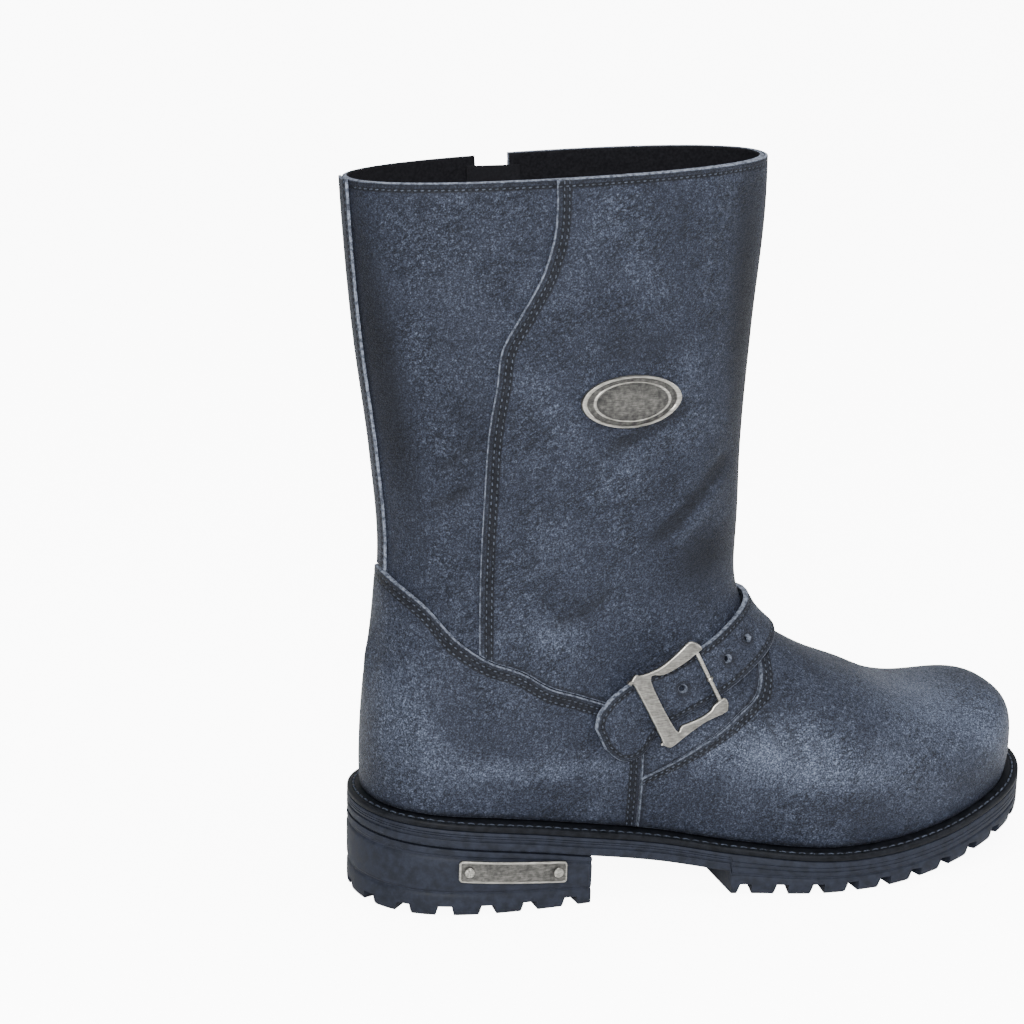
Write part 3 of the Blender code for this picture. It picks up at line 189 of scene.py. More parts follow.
# Seams in the side view.  Counter: top edge along the last.  Vamp: rear edge by height.
COUNTER_TOP = table("station height",
                    (0.00, 1.000), (0.03, 0.950), (0.06, 0.900), (0.10, 0.808), (0.14, 0.750),
                    (0.19, 0.710), (0.23, 0.660), (0.27, 0.630), (0.32, 0.590), (0.37, 0.548))
VAMP_EDGE = table("height reach",
                  (0.16, 0.355), (0.18, 0.400), (0.21, 0.453), (0.23, 0.483), (0.257, 0.518),
                  (0.273, 0.539), (0.292, 0.550), (0.32, 0.555), (0.42, 0.558))
SIDE_SEAM = table("height reach",
                  (0.30, -0.012), (0.43, -0.014), (0.58, -0.010), (0.67, -0.004), (0.73, 0.010),
                  (0.78, 0.021), (0.82, 0.057), (0.875, 0.107), (0.915, 0.128), (1.02, 0.135))
ZIP_LINE = table("height reach",
                 (0.25, 0.272), (0.36, 0.256), (0.42, 0.242), (0.50, 0.231), (0.57, 0.225),
                 (0.69, 0.225), (0.75, 0.217), (0.80, 0.203), (0.86, 0.172), (0.90, 0.142),
                 (0.95, 0.111), (1.02, 0.097))

# Strap outline by its arc from the front: edges as shares of the strap's width
STRAP_OUTER = table("arc low high",
                    (0.00, -0.46, 0.50), (0.42, -0.50, 0.50), (0.66, -0.50, 0.52),
                    (0.78, -0.54, 0.60), (0.85, -0.76, 0.58), (0.93, -0.78, 0.46),
                    (0.975, -0.62, 0.32), (1.00, -0.34, 0.14))
STRAP_INNER = table("arc low high",
                    (0.00, -0.46, 0.50), (0.46, -0.46, 0.42), (0.70, -0.66, 0.36),
                    (0.90, -0.95, 0.34), (1.00, -1.02, 0.34))
# Depth of the strap's underside by its arc on the outer side, as shares of its full lift
STRAP_LIFT = table("arc lift",
                   (0.00, 0.2), (0.26, 0.2), (0.46, 1.0), (0.80, 1.0), (0.92, 0.1), (1.00, 0.1))

# Buckle outline as shares of its length toward the toe and of its height downward: over the
# upper bar, back under it to the wide bar, along the lower bar to its end and back below it
BUCKLE_OUTLINE = table("along down",
                       (-0.05, 0.05), (0.07, -0.03), (0.16, 0.02), (0.42, 0.05), (0.70, 0.00),
                       (0.90, -0.05), (1.00, 0.02), (1.03, 0.12), (0.94, 0.14), (0.77, 0.17),
                       (0.58, 0.18), (0.41, 0.17), (0.23, 0.145), (0.235, 0.90), (0.33, 0.90),
                       (0.57, 0.935), (0.75, 0.925), (0.84, 0.88), (1.00, 0.865), (1.03, 0.93),
                       (1.00, 1.01), (0.93, 1.055), (0.66, 1.03), (0.44, 1.045), (0.28, 1.065),
                       (0.085, 1.09), (0.01, 1.03), (-0.02, 0.97), (0.01, 0.90), (0.00, 0.10))
BUCKLE_ROD_ALONG = 0.945
BUCKLE_ROD_ENDS = (0.10, 0.90)
BUCKLE_RING_DOWN = 0.54


def curve(rows, column, at):
    """Read a smooth curve through a table's column, held level past both ends."""
    names = list(rows)
    stations, values = rows[names[0]], rows[column]
    slopes = np.gradient(values, stations)
    at = np.clip(at, stations[0], stations[-1])
    row = np.clip(np.searchsorted(stations, at) - 1, 0, len(stations) - 2)
    span = stations[row + 1] - stations[row]
    t = (at - stations[row]) / span
    return (values[row] * (1 + 2 * t) * (1 - t) ** 2 + slopes[row] * span * t * (1 - t) ** 2
            + values[row + 1] * t * t * (3 - 2 * t)
            + slopes[row + 1] * span * t * t * (t - 1))


def smooth_step(t):
    """Ease from 0 to 1."""
    t = np.clip(t, 0, 1)
    return t * t * (3 - 2 * t)


def blend(a, b, reach):
    """The lesser of two fields, rounded where they meet."""
    share = np.clip(0.5 + 0.5 * (b - a) / reach, 0, 1)
    return b * (1 - share) + a * share - reach * share * (1 - share)


# The body of the upper

FIELD_SCALE = 0.45 * BALL_WIDTH
RAY_LIMIT = 0.6 * LAST_LENGTH


def station(x):
    """Share of the last's length at x."""
    return (x - LAST_BACK) / LAST_LENGTH


def plan(s):
    """Half width and middle of the last's outline at a station."""
    s = np.clip(s, 1e-9, 1 - 1e-9)
    arch = 2 * np.sqrt(s * (1 - s))
    half_ball = BALL_WIDTH / 2
    inner = PLAN["station"][1:-1]
    fullness = PLAN["half"].copy()
    fullness[1:-1] *= half_ball / (2 * np.sqrt(inner * (1 - inner)))
    fullness[0] = math.sqrt(HEEL_NOSE * LAST_LENGTH / 2)
    fullness[-1] = math.sqrt(TOE_NOSE * LAST_LENGTH / 2)
    rows = {"station": PLAN["station"], "fullness": fullness}
    return curve(rows, "fullness", s) * arch, curve(PLAN, "shift", s) * half_ball


def welt_top(x):
    """Height of the welt's top, on which the upper stands."""
    s = station(x)
    return (BALL_STACK + (SEAT_HEIGHT - BALL_STACK) * curve(FEATHER, "seat", s)
            + TOE_RISE * curve(FEATHER, "toe", s))


def ridge(x):
    """Height of the foot form's top."""
    return welt_top(x) + INSTEP_HEIGHT * curve(RIDGE, "height", station(x))


def foot_field(x, y, z):
    """Below zero inside the foot form."""
    s = station(x)
    half, middle = plan(s)
    under_leg = smooth_step((s - 0.017) / 0.2)
    half = half * FOOT_SPREAD * (0.7 + 0.3 * under_leg)
    nose = np.clip((s - 1) * LAST_LENGTH / TOE_DEPTH + 1, 0, 1)
    closing = np.maximum(1 - nose ** 2.3, 1e-9) ** (1 / 2.3)
    low, high = welt_top(x), ridge(x)
    power = curve(RIDGE, "power", s)
    waist = low + 0.36 * (high - low)
    above = (high - waist) * closing
    below = (waist - low) * 2.3 * closing
    reach = np.where(z > waist, above, below)
    section = (np.abs(y - middle) / np.maximum(half, 1e-6)) ** power
    section = (section + (np.abs(z - waist) / np.maximum(reach, 1e-6)) ** power) ** (1 / power)
    outside = (s <= 0) | (s >= 1)
    return np.where(outside, FIELD_SCALE * 1.4, (section - 1) * FIELD_SCALE)


def leg_field(x, y, z):
    """Below zero inside the leg form."""
    share = z / SHAFT_HEIGHT
    back = curve(LEG, "back", share) * COLLAR_DEPTH
    widest = curve(LEG, "widest", share) * COLLAR_DEPTH
    front = curve(LEG, "front", share) * COLLAR_DEPTH
    half = curve(LEG, "half", share) * COLLAR_WIDTH
    reach = np.where(x > widest, front - widest, widest - back)
    roundness = 2.25
    section = (np.abs(x - widest) / reach) ** roundness + (np.abs(y) / half) ** roundness
    return (section ** (1 / roundness) - 1) * FIELD_SCALE


def body(x, y, z):
    """Below zero inside the whole upper: the foot and the leg blended."""
    throat = smooth_step((station(x) - 0.34) / 0.134)
    reach = ANKLE_BLEND + (THROAT_BLEND - ANKLE_BLEND) * throat
    return blend(foot_field(x, y, z), leg_field(x, y, z), reach)


def outward(points):
    """Unit normals of the body's surface at points on it."""
    step = 0.2 * MM
    x, y, z = points[:, 0], points[:, 1], points[:, 2]
    slope = np.stack([body(x + step, y, z) - body(x - step, y, z),
                      body(x, y + step, z) - body(x, y - step, z),
                      body(x, y, z + step) - body(x, y, z - step)], 1)
    return slope / np.linalg.norm(slope, axis=1, keepdims=True)


def reach_skin(origins, directions):
    """Where rays from inside the body meet its surface."""
    near = np.zeros(origins.shape[:-1])
    far = np.full(origins.shape[:-1], RAY_LIMIT)
    for _ in range(36):
        middle = (near + far) / 2
        at = origins + directions * middle[..., None]
        inside = body(at[..., 0], at[..., 1], at[..., 2]) < 0
        near = np.where(inside, middle, near)
        far = np.where(inside, far, middle)
    return origins + directions * near[..., None]


def side_point(x, z, side):
    """The point of the surface at x and z on the outer (-1) or inner (+1) side."""
    x, z = np.broadcast_arrays(np.asarray(x, float), np.asarray(z, float))
    origins = np.stack([x, 0 * x, z], -1)
    directions = np.zeros_like(origins)
    directions[..., 1] = side
    return reach_skin(origins, directions)


def collar_axis(share):
    """Middle of the leg's section at a share of the shaft's height."""
    return (curve(LEG, "back", share) + curve(LEG, "front", share)) / 2 * COLLAR_DEPTH


def ring_planes(fineness):
    """Origin, direction and spread of each section from the toe round the instep to the collar."""
    toe_rings, turn_rings, shaft_rings = (
        round(count * fineness) for count in (TOE_RINGS, TURN_RINGS, SHAFT_RINGS))
    pivot_x, pivot_z = LAST_BACK + 0.58 * LAST_LENGTH, 0.56 * SHAFT_HEIGHT
    toe = LAST_BACK + LAST_LENGTH - 0.6 * MM
    planes = []
    for i in range(toe_rings):
        turn = (i + 0.35) / toe_rings * math.pi / 2
        x = toe - (toe - pivot_x) * (1 - math.cos(turn))
        z = welt_top(x) + 0.4 * (ridge(x) - welt_top(x))
        planes.append(((x, z), (0, -1), TOE_SPREAD))
    floor = welt_top(pivot_x) + 0.4 * (ridge(pivot_x) - welt_top(pivot_x))
    axis = collar_axis(pivot_z / SHAFT_HEIGHT)
    for i in range(turn_rings + 1):
        t = i / turn_rings
        turn = t * math.pi / 2
        reach = (pivot_z - floor) * (1 - t) + (pivot_x - axis) * t
        way = (-math.sin(turn), -math.cos(turn))
        spread = TOE_SPREAD + (SHAFT_SPREAD - TOE_SPREAD) * t
        planes.append(((pivot_x + way[0] * reach, pivot_z + way[1] * reach), way, spread))
    for i in range(1, shaft_rings + 1):
        t = i / shaft_rings
        z = pivot_z + (SHAFT_HEIGHT * 1.01 - pivot_z) * t
        tilt = COLLAR_TILT * smooth_step(t)
        planes.append(((collar_axis(z / SHAFT_HEIGHT), z), (-math.cos(tilt), -math.sin(tilt)),
                       SHAFT_SPREAD))
    return planes


COLLAR_TILT = math.atan(COLLAR_RISE / COLLAR_DEPTH)
SNAP = 0.03 * MM


def corners(faces):
    """All the faces' corners in one row, where each face starts, and the corner after each."""
    sizes = np.fromiter(map(len, faces), int, len(faces))
    flat = np.fromiter(itertools.chain.from_iterable(faces), int, sizes.sum())
    starts = np.r_[0, np.cumsum(sizes)[:-1]]
    after = np.roll(flat, -1)
    after[starts + sizes - 1] = flat[starts]
    return flat, starts, after


class Skin:
    """A patch of the body's surface: points, outward normals and notes on them, and faces."""

    def __init__(self, data, faces):
        self.data, self.faces = data, faces

    @property
    def points(self):
        return self.data[:, :3]

    @property
    def normals(self):
        normals = self.data[:, 3:6]
        return normals / np.linalg.norm(normals, axis=1, keepdims=True)

    def split(self, measure, line=0.0):
        """Add edges where a measure of the points passes a value; returns the new marks."""
        marks = measure(self) - line
        marks = np.where(np.abs(marks) < SNAP, 0.0, marks)
        flat, starts, _ = corners(self.faces)
        low = np.minimum.reduceat(marks[flat], starts)
        high = np.maximum.reduceat(marks[flat], starts)
        mixed = (low < 0) & (high > 0)
        faces = [face for face, both in zip(self.faces, mixed) if not both]
        values, count, crossings = marks.tolist(), len(marks), {}

        def halves(face):
            loop = []
            for a, b in zip(face, face[1:] + face[:1]):
                loop.append(a)
                if values[a] * values[b] < 0:
                    key = (a, b) if a < b else (b, a)
                    loop.append(crossings.setdefault(key, count + len(crossings)))
            zeros = [k for k, i in enumerate(loop) if i >= count or values[i] == 0]
            if len(zeros) != 2:
                return None
            first, last = zeros
            return [loop[first:last + 1], loop[last:] + loop[:first + 1]]

        for k in np.flatnonzero(mixed):
            face = self.faces[k]
            parts = halves(face)
            if parts is None:
                parts = []
                for a, b in zip(face[1:-1], face[2:]):
                    triangle = [face[0], a, b]
                    signs = [values[i] for i in triangle]
                    both = min(signs) < 0 < max(signs)
                    parts += halves(triangle) if both else [triangle]
            faces += parts
        pairs = np.array(list(crossings), int).reshape(-1, 2)
        a, b = pairs.T
        share = (marks[a] / (marks[a] - marks[b]))[:, None]
        data = np.vstack([self.data, self.data[a] * (1 - share) + self.data[b] * share])
        return Skin(data, faces), np.r_[marks, np.zeros(len(pairs))]

    def keep(self, chosen):
        """Keep the chosen faces and the points that they use."""
        faces = [face for face, wanted in zip(self.faces, chosen) if wanted]
        flat, starts, _ = corners(faces)
        used = np.unique(flat)
        place = np.zeros(len(self.data), int)
        place[used] = np.arange(len(used))
        flat = place[flat].tolist()
        ends = np.r_[starts[1:], len(flat)].tolist()
        return Skin(self.data[used], [flat[a:b] for a, b in zip(starts.tolist(), ends)])

    def cut(self, measure):
        """Keep what lies where the measure is above zero."""
        parts, marks = self.split(measure)
        flat, starts, _ = corners(parts.faces)
        return parts.keep(np.maximum.reduceat(marks[flat], starts) > 0)


def traced(skin, marks):
    """Lines along the edges on which the marks are zero, as rows of the skin's data."""
    flat, _, after = corners(skin.faces)
    on = (marks[flat] == 0) & (marks[after] == 0)
    pairs = {(min(a, b), max(a, b)) for a, b in zip(flat[on].tolist(), after[on].tolist())}
    links = {}
    for a, b in pairs:
        links.setdefault(a, []).append(b)
        links.setdefault(b, []).append(a)
    lines, seen = [], set()
    for start in sorted(links, key=lambda i: (len(links[i]) != 1, i)):
        if start in seen:
            continue
        line, at = [start], start
        seen.add(start)
        while True:
            ahead = [i for i in links[at] if i not in seen]
            if not ahead:
                break
            at = ahead[0]
            seen.add(at)
            line.append(at)
        if len(line) > 3:
            if len(links[start]) > 1:
                line.append(start)
            lines.append(skin.data[line])
    return lines


def whole_skin(fineness):
    """The body's surface from the toe to past the collar."""
    planes = ring_planes(fineness)
    around = round(AROUND * fineness)
    angle = np.arange(around) / around * 2 * math.pi
    origin = np.array([[p[0][0], 0, p[0][1]] for p in planes])[:, None, :]
    way = np.array([[p[1][0], 0, p[1][1]] for p in planes])[:, None, :]
    along = np.cos(angle)[None, :] * np.array([p[2] for p in planes])[:, None]
    across = np.sin(angle)[None, :]
    size = np.hypot(along, across)
    directions = way * (along / size)[..., None]
    directions[..., 1] += across / size
    rings = reach_skin(np.broadcast_to(origin, directions.shape), directions)
    tip = rings[0].mean(0)
    tip[0] = LAST_BACK + LAST_LENGTH - 0.1 * MM
    points = np.vstack([rings.reshape(-1, 3), tip])
    faces = []
    for i in range(len(planes) - 1):
        for j in range(around):
            k = (j + 1) % around
            a, b, c, d = i * around + j, i * around + k, (i + 1) * around + k, (i + 1) * around + j
            faces.append([a, b, c, d])
    centre = len(points) - 1
    faces += [[centre, (j + 1) % around, j] for j in range(around)]
    return made_skin(points, faces)


def made_skin(points, faces, notes=None):
    """A skin whose faces look outward."""
    normals = outward(points)
    columns = [points, normals] if notes is None else [points, normals, notes]
    first = points[faces[len(faces) // 2]]
    normal = np.cross(first[1] - first[0], first[2] - first[0])
    if normal @ normals[faces[len(faces) // 2][0]] < 0:
        faces = [face[::-1] for face in faces]
    return Skin(np.hstack(columns), faces)


# Seam lines as fields, in metres from the line

def counter_field(points):
    """Above zero inside the counter: under its top edge and behind its front edge."""
    x, z = points[:, 0], points[:, 2]
    top = curve(COUNTER_TOP, "height", station(x)) * COUNTER_HEIGHT
    return blend((top - z) * 0.88, COUNTER_FRONT - x, COUNTER_CORNER)


def zip_x(z):
    """Where the zip's middle runs at a height."""
    return curve(ZIP_LINE, "reach", z / SHAFT_HEIGHT) * COLLAR_DEPTH


def floor_field(points):
    """Above zero over the welt."""
    return points[:, 2] - welt_top(points[:, 0]) - CLEARANCE


def slot_flare(z):
    """How much wider the slot's sides stand toward the collar."""
    return SLOT_FLARE * smooth_step((z / SHAFT_HEIGHT - 0.9) / 0.1)


def vamp_field(points):
    """Above zero ahead of the vamp's rear edge."""
    x, z = points[:, 0], points[:, 2]
    edge = LAST_BACK + curve(VAMP_EDGE, "reach", z / SHAFT_HEIGHT) * LAST_LENGTH
    return np.minimum(x - edge, VAMP_EDGE["height"][-1] * SHAFT_HEIGHT - z)


def seam_field(points):
    """Above zero ahead of the shaft's side seam."""
    seam = curve(SIDE_SEAM, "reach", points[:, 2] / SHAFT_HEIGHT) * COLLAR_DEPTH
    return np.where(points[:, 1] < 0, points[:, 0] - seam, AWAY)


def zip_front_field(points):
    """Above zero ahead of the zip on the inner side."""
    x, y, z = points[:, 0], points[:, 1], points[:, 2]
    return np.where(y >= 0, x - zip_x(z) - SLOT_AHEAD - slot_flare(z), AWAY)


def slot_field(points):
    """Above zero outside the zip's slot."""
    x, y, z = points[:, 0], points[:, 1], points[:, 2]
    ahead = x - zip_x(z)
    flare = slot_flare(z)
    return -np.minimum.reduce([ahead + SLOT_BEHIND + flare, SLOT_AHEAD + flare - ahead,
                               z - ZIP_FOOT, y])


def collar_field(points):
    """Above zero under the collar's edge."""
    x, z = points[:, 0], points[:, 2]
    return SHAFT_HEIGHT + (x - collar_axis(1.0)) * math.tan(COLLAR_TILT) - z


AWAY = 1.0


def along_skin(field, shift=0.0, sign=1):
    """A measure of how far points lie from a field's line, along the surface."""
    step = 0.1 * MM

    def measure(skin):
        points, normals = skin.points, skin.normals
        slope = np.stack([(field(points + step * axis) - field(points - step * axis)) / (2 * step)
                          for axis in np.eye(3)], 1)
        slope -= normals * (slope * normals).sum(1, keepdims=True)
        steepness = np.clip(np.linalg.norm(slope, axis=1), 0.3, 1.3)
        return sign * field(points) / steepness - shift

    return measure


# Folds and creases; light places (wear and painted highlight) and dark places (painted shade); set on
# the side view

# Side, start x and z, end x and z, bow, half width and height, in mm
CREASES = (
    (-1, 113, 197, 62, 152, 5, 5.0, -1.2),
    (-1, 108, 186, 74, 150, 3, 4.0, 0.8),
    (-1, 97, 217, 40, 190, -3, 4.5, -0.9),
    (-1, 95, 226, 50, 203, -2, 6.0, 0.6),
    (-1, 34, 190, 2, 190, 1, 1.3, -0.35),
    (-1, 60, 169, 3, 162, 1, 1.2, 0.35),
    (-1, 58, 165, 6, 158, 1, 1.8, -0.35),
    (-1, 30, 215, 8, 196, 2, 2.5, -0.4),
    (-1, 60, 140, 20, 121, 2, 4.0, -0.6),
    (-1, 40, 150, 8, 140, -2, 3.5, 0.5),
    (-1, -2, 210, -26, 186, 3, 4.0, -0.6),
    (-1, -4, 188, -28, 172, 3, 3.5, -0.7),
    (-1, -6, 172, -30, 160, 2, 3.0, 0.5),
    (-1, 124, 62, 110, 86, 2, 2.4, -0.5),
    (-1, 133, 58, 121, 86, 2, 2.4, -0.6),
    (-1, 142, 52, 131, 80, 2, 2.6, -0.6),
    (-1, 152, 50, 142, 76, 2, 2.6, -0.5),
    (-1, 162, 50, 154, 70, 1, 2.4, -0.35),
    (1, 115, 60, 104, 86, 2, 2.4, -0.4),
    (1, 128, 56, 118, 86, 2, 2.6, -0.5),
    (1, 140, 54, 130, 80, 2, 2.6, -0.5),
    (1, 152, 52, 143, 76, 2, 2.4, -0.4),
    (1, 112, 195, 66, 156, 5, 5.0, -1.1),
    (1, 98, 216, 62, 196, -3, 4.5, -0.8),
    (1, 20, 214, -16, 190, 3, 4.0, -0.7),
    (1, 14, 186, -24, 170, 3, 3.5, -0.6),
)

# Side, x, z, half lengths along and across, turn in degrees, and how light or dark it is
# Light entries are worn places with painted highlights; dark entries are painted shade in folds and
# along the shaft's edges.
RUBS_AND_PAINTED_LIGHT = (
    (-1, -28, 78, 14, 26, 0, 0.40),
    (-1, 15, 61, 30, 5, -8, 0.40),
    (-1, 52, 60, 22, 6, -8, 0.30),
    (-1, 25, 118, 26, 8, -6, 0.30),
    (-1, 50, 186, 22, 10, 20, 0.10),
    (-1, 84, 206, 14, 9, 25, 0.25),
    (-1, 62, 240, 26, 10, 5, -0.20),
    (-1, 130, 62, 34, 14, -10, 0.75),
    (-1, 160, 52, 24, 9, -10, 0.45),
    (-1, 215, 66, 34, 16, -6, 0.45),
    (-1, 205, 76, 40, 16, -20, 0.25),
    (-1, 238, 52, 12, 12, 0, 0.35),
    (-1, 112, 250, 9, 70, 0, -0.45),
    (-1, 96, 146, 16, 14, 20, -0.40),
    (-1, -8, 205, 10, 30, 0, -0.15),
    (-1, -42, 235, 7, 80, 11, -0.45),
    (1, -28, 78, 14, 26, 0, 0.35),
    (1, 20, 66, 34, 6, -8, 0.30),
    (1, 120, 58, 30, 12, -10, 0.45),
    (1, 170, 54, 30, 9, -6, 0.35),
    (1, 215, 66, 34, 16, -6, 0.45),
    (1, 80, 205, 16, 10, 20, 0.25),
    (1, 70, 190, 30, 30, 0, 0.10),
)


def on_side(y, side):
    """One on the named side of the boot, falling to zero past the middle."""
    return smooth_step(0.5 + side * y / (16 * MM))


def relief(points):
    """How far the leather swells or sinks at points of the surface, in metres."""
    x, y, z = (points / MM).T
    total = np.zeros(len(points))
    for side, x0, z0, x1, z1, bow, width, height in CREASES:
        length = math.hypot(x1 - x0, z1 - z0)
        ux, uz = (x1 - x0) / length, (z1 - z0) / length
        t = ((x - x0) * ux + (z - z0) * uz) / length
        off = (x - x0) * -uz + (z - z0) * ux - bow * 4 * t * (1 - t)
        taper = smooth_step(t / 0.3) * smooth_step((1 - t) / 0.3)
        total += height * taper * np.exp(-(off / width) ** 2) * on_side(y * MM, side)
    above_welt = smooth_step((points[:, 2] - welt_top(points[:, 0])) / (12 * MM))
    under_collar = smooth_step(collar_field(points) / (15 * MM))
    by_zip = np.where(y > 0, smooth_step((np.abs(points[:, 0] - zip_x(points[:, 2])) / MM - 12)
                                         / 14), 1)
    return total * MM * above_welt * under_collar * by_zip


def rubs_and_painted_light(points):
    """How light or dark the leather is at points of the surface: worn places and painted highlights
    lighten it, painted shade darkens it.
    """
    x, y, z = (points / MM).T
    total = np.zeros(len(points))
    for side, cx, cz, along, across, turn, value in RUBS_AND_PAINTED_LIGHT:
        c, s = math.cos(math.radians(turn)), math.sin(math.radians(turn))
        u, v = ((x - cx) * c + (z - cz) * s) / along, ((z - cz) * c - (x - cx) * s) / across
        total += value * np.exp(-(u * u + v * v)) * on_side(y * MM, side)
    return total


# Finishes

def node(tree, kind, inputs=(), **settings):
    """A shader node with its settings, and its sockets linked or set."""
    made = tree.nodes.new("ShaderNode" + kind)
    for name, value in settings.items():
        setattr(made, name, value)
    for name, value in dict(inputs).items():
        if isinstance(value, bpy.types.NodeSocket):
            tree.links.new(value, made.inputs[name])
        else:
            made.inputs[name].default_value = value
    return made


def calc(tree, operation, a, b=0.0, c=0.0):
    """The value of a sum on two or three values."""
    return node(tree, "Math", {0: a, 1: b, 2: c}, operation=operation).outputs[0]


def ramp(tree, value, low, high, start=0.0, end=1.0):
    """A value eased from start to end while another goes from low to high."""
    made = node(tree, "MapRange", {"Value": value, "From Min": low, "From Max": high,
                                   "To Min": start, "To Max": end}, interpolation_type="SMOOTHSTEP")
    return made.outputs[0]


def mix(tree, share, a, b):
    """Two colours mixed by a share."""
    a, b = ((*colour, 1) if isinstance(colour, tuple) else colour for colour in (a, b))
    return node(tree, "Mix", {0: share, 6: a, 7: b}, data_type="RGBA").outputs[2]


def noise(tree, place, scale, detail=3.0, rough=0.55):
    """Fractal noise at places, as a value near 0.5."""
    return node(tree, "TexNoise", {"Vector": place, "Scale": scale, "Detail": detail,
                                   "Roughness": rough}).outputs[0]


def group(name, inputs, outputs):
    """A shader node group with named inputs and outputs, and its two end nodes."""
    tree = bpy.data.node_groups.new(name, "ShaderNodeTree")
    for kinds, way in ((inputs, "INPUT"), (outputs, "OUTPUT")):
        for label, kind in kinds.items():
            tree.interface.new_socket(label, in_out=way, socket_type="NodeSocket" + kind)
    return tree, tree.nodes.new("NodeGroupInput").outputs, tree.nodes.new("NodeGroupOutput").inputs


def place_group(tree, made, inputs):
    """The outputs of a node group placed in a material."""
    return node(tree, "Group", inputs, node_tree=made).outputs


def grain_group():
    """Leather grain: pebbles, short wrinkles along a lean, and fine specks on the tops."""
    tree, into, out = group("leather_grain", {"Place": "Vector"},
                            {"Height": "Float", "Pits": "Float", "Wrinkles": "Float",
                             "Specks": "Float"})
    place = into["Place"]
    soft = node(tree, "TexNoise", {"Vector": place, "Scale": 380.0, "Detail": 2.0})
    warped = node(tree, "VectorMath", {0: soft.outputs[1], 1: (0.5, 0.5, 0.5)},
                  operation="SUBTRACT").outputs[0]
    warped = node(tree, "VectorMath", {0: warped, "Scale": 0.0022}, operation="SCALE").outputs[0]
    warped = node(tree, "VectorMath", {0: place, 1: warped}).outputs[0]
    cells = node(tree, "TexVoronoi", {"Vector": warped, "Scale": 900.0}, feature="DISTANCE_TO_EDGE")
    pebble = ramp(tree, cells.outputs[0], 0.0, 0.2)
    specks = ramp(tree, noise(tree, place, 1500.0, 3.0, 0.7), 0.38, 0.64)
    lean = node(tree, "Mapping", {"Vector": warped, "Rotation": (0, math.radians(64), 0),
                                  "Scale": (1 / 520, 1 / 520, 1 / 110)},
                vector_type="TEXTURE").outputs[0]
    lines = calc(tree, "ABSOLUTE", calc(tree, "SUBTRACT", noise(tree, lean, 1.0, 3.0, 0.6), 0.5))
    lines = ramp(tree, lines, 0.0, 0.045, 1.0, 0.0)
    patch = noise(tree, place, 48.0, 2.0)
    lines = calc(tree, "MULTIPLY", lines, ramp(tree, patch, 0.38, 0.62, 0.25, 1.0))
    dents = noise(tree, place, 130.0, 2.0)
    height = calc(tree, "MULTIPLY", pebble, 0.00008)
    height = calc(tree, "MULTIPLY_ADD", specks, 0.00006, height)
    height = calc(tree, "MULTIPLY_ADD", dents, 0.0004, height)
    height = calc(tree, "MULTIPLY_ADD", lines, -0.00018, height)
    tree.links.new(height, out["Height"])
    tree.links.new(calc(tree, "SUBTRACT", 1.0, pebble), out["Pits"])
    tree.links.new(lines, out["Wrinkles"])
    tree.links.new(specks, out["Specks"])
    return tree


def wear_and_shading_group():
    """Masks from a leather piece's notes: worn places, painted highlights, light rims, painted shade.
    """
    tree, into, out = group("leather_wear_and_shading", {"Place": "Vector", "Edge": "Float", "Row": "Float",
                                             "Swell": "Float", "RubsAndPaintedLight": "Float"},
                            {"Light": "Float", "Rim": "Float", "Dark": "Float"})
    patch = noise(tree, into["Place"], 34.0, 5.0, 0.62)
    spots = noise(tree, into["Place"], 640.0, 3.0, 0.7)
    # Light rims: edge wear with a painted highlight on the rounded edges
    rim = ramp(tree, into["Edge"], 0.0001, 0.0007, 0.9, 0.0)
    rim = calc(tree, "MULTIPLY", rim, ramp(tree, spots, 0.35, 0.65, 0.15, 1.0))
    # Worn patches from noise and the notes; the notes also hold painted highlights and painted shade
    worn_and_highlit = calc(tree, "MULTIPLY_ADD", calc(tree, "SUBTRACT", patch, 0.5), 1.1, into["RubsAndPaintedLight"])
    worn_and_highlit = calc(tree, "MULTIPLY_ADD", calc(tree, "SUBTRACT", spots, 0.5), 1.8, worn_and_highlit)
    worn_and_highlit = ramp(tree, worn_and_highlit, -0.2, 0.95, 0.0, 0.95)
    # Painted highlight on the tops of swells and folds
    raised = ramp(tree, into["Swell"], 0.1, 0.9, 0.0, 0.45)
    light = calc(tree, "MAXIMUM", worn_and_highlit, raised)
    # Painted shade in the stitch grooves
    seam = ramp(tree, into["Row"], 0.0004, 0.0014, 0.92, 0.0)
    # Painted shade in a band just inside each edge, clear of the rim
    beside = ramp(tree, into["Edge"], 0.0008, 0.0032, 0.6, 0.0)
    beside = calc(tree, "MULTIPLY", beside, ramp(tree, into["Edge"], 0.0003, 0.0007))
    # Painted shade in the troughs of folds
    sunk = ramp(tree, into["Swell"], -0.9, -0.1, 0.65, 0.0)
    # Painted shade where the notes are dark
    deep = ramp(tree, into["RubsAndPaintedLight"], -0.5, 0.0, 0.75, 0.0)
    dark = calc(tree, "MAXIMUM", calc(tree, "MAXIMUM", seam, beside),
                calc(tree, "MAXIMUM", sunk, deep))
    tree.links.new(light, out["Light"])
    tree.links.new(rim, out["Rim"])
    tree.links.new(dark, out["Dark"])
    return tree


def finish(name, colour, roughness, metallic=0.0, **constants):
    """A material with a Principled shader: its tree, its shader and its place on the object."""
    made = bpy.data.materials.new(name)
    made.use_nodes = True
    tree = made.node_tree
    shader = tree.nodes["Principled BSDF"]
    shader.inputs["Base Color"].default_value = (*colour, 1)
    shader.inputs["Roughness"].default_value = roughness
    shader.inputs["Metallic"].default_value = metallic
    for socket, value in constants.items():
        shader.inputs[socket.replace("_", " ")].default_value = value
    return made, tree, shader, node(tree, "TexCoord").outputs["Object"]


